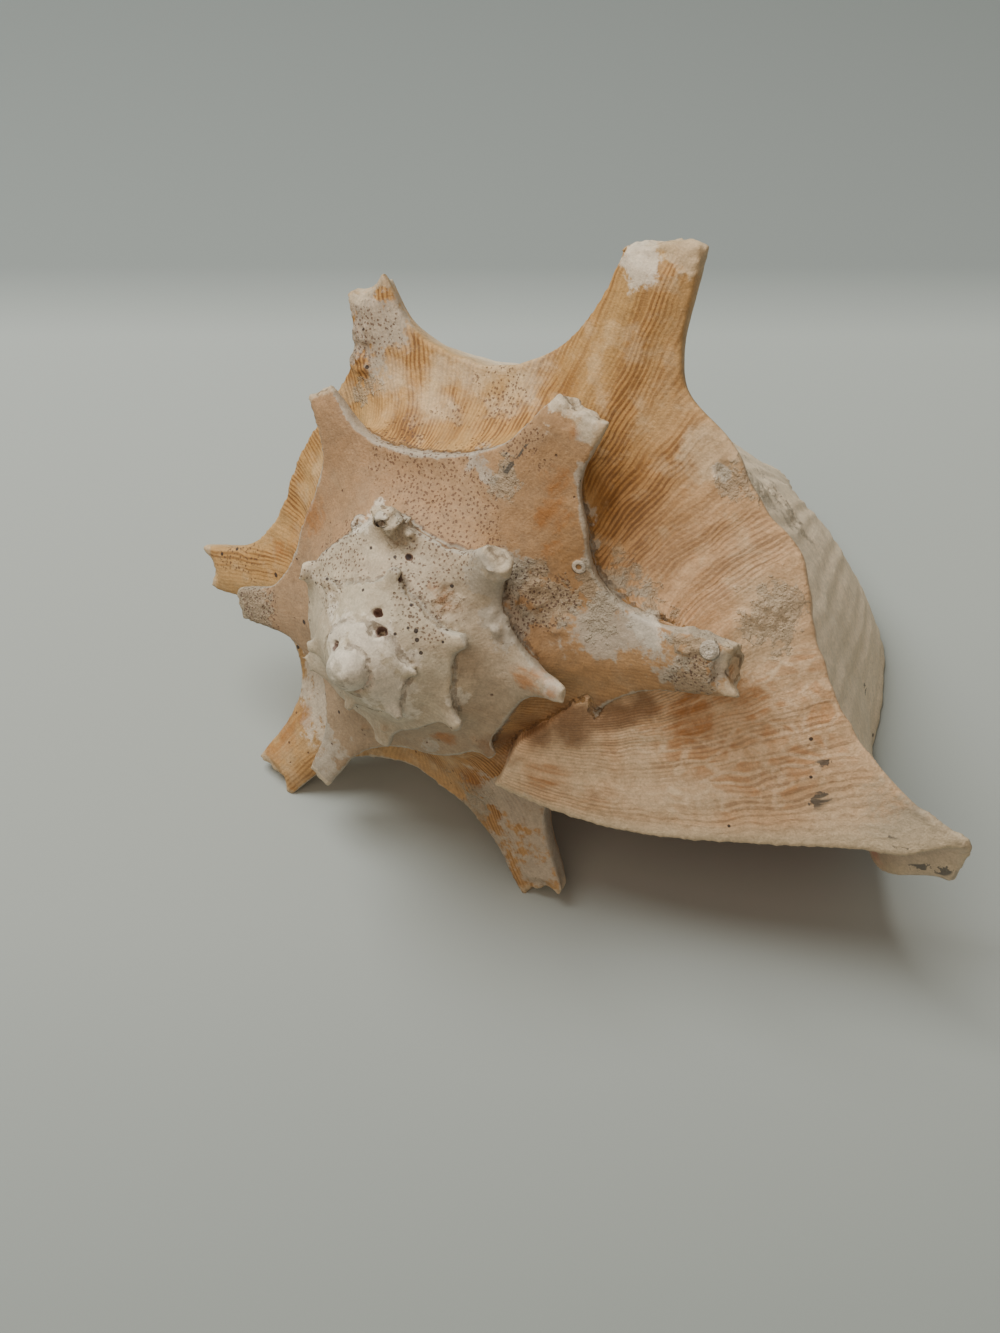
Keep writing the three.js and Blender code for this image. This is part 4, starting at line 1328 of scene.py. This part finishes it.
away = Vector((-math.sin(AZIMUTH), math.cos(AZIMUTH), 0))
paper = bpy.data.materials.new("matt_paper_with_painted_shade")
paper.use_nodes = True
paper_tree = paper.node_tree
paper_tree.nodes.clear()
behind = node(paper_tree, "VectorMath", {0: node(paper_tree, "TexCoord", out="Object"), 1: away / MM},
              operation="DOT_PRODUCT", out="Value")
behind = node(paper_tree, "MapRange", {0: behind, 1: FLOOR_FROM, 2: FLOOR_TO})
tone = node(paper_tree, "ValToRGB", {0: behind}, out="Color",
            stops=[((at - FLOOR_FROM) / (FLOOR_TO - FLOOR_FROM), paint) for at, paint in FLOOR_TONES_WITH_PAINTED_SHADE])
surface = node(paper_tree, "BsdfPrincipled", {"Base Color": tone, "Roughness": 0.8})
paper_tree.links.new(surface, paper_tree.nodes.new("ShaderNodeOutputMaterial").inputs["Surface"])

bm = bmesh.new()
bmesh.ops.create_grid(bm, x_segments=1, y_segments=1, size=FLOOR_SIZE)
floor_mesh = bpy.data.meshes.new("floor")
bm.to_mesh(floor_mesh)
bm.free()
floor_mesh.materials.append(paper)
floor = bpy.data.objects.new("floor", floor_mesh)
bpy.context.scene.collection.objects.link(floor)
print("floor of", 2 * FLOOR_SIZE, "m")

# %% [markdown]
# The photograph has soft light from the upper left and a broad, dark shadow under the lip. One large lamp
# hangs high, to the left and a little behind the shell. A weak, warm one fills from the front, and the room
# gives a little warm light from all sides. More fill would wash the shadow out.

# %% Light
ROOM_COLOUR, ROOM_STRENGTH = (0.92, 0.85, 0.78, 1), 0.25
MIDDLE = (0, 0, 0.05)              # the lamps look at the middle of the shell, places are in metres
right = Vector(view_right)
world = bpy.data.worlds.new("studio")
bpy.context.scene.world = world
world.use_nodes = True
world.node_tree.nodes["Background"].inputs["Color"].default_value = ROOM_COLOUR
world.node_tree.nodes["Background"].inputs["Strength"].default_value = ROOM_STRENGTH


def softbox(name, spot, size, watts, tint="#FFFFFF"):
    """A round soft lamp of a size in metres, turned to the middle of the shell."""
    lamp = bpy.data.lights.new(name, "AREA")
    lamp.shape = "DISK"
    lamp.color = shade(tint)[:3]
    lamp.size = size
    lamp.energy = watts
    lamp_object = bpy.data.objects.new(name, lamp)
    bpy.context.scene.collection.objects.link(lamp_object)
    lamp_object.location = spot
    lamp_object.rotation_euler = (Vector(MIDDLE) - spot).to_track_quat("-Z", "Y").to_euler()
    print(name, "lamp", watts, "W")


softbox("key", away * 0.3 - right * 0.65 + Vector((0, 0, 1.55)), 1.1, 33)
softbox("fill", -away * 0.9 - right * 0.4 + Vector((0, 0, 1.2)), 1.2, 6, "#FFDCC0")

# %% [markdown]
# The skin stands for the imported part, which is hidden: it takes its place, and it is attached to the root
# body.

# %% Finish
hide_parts("conch_shell")
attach(shell, "root")
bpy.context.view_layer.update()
print("done after", round(time.time() - started, 1), "s")
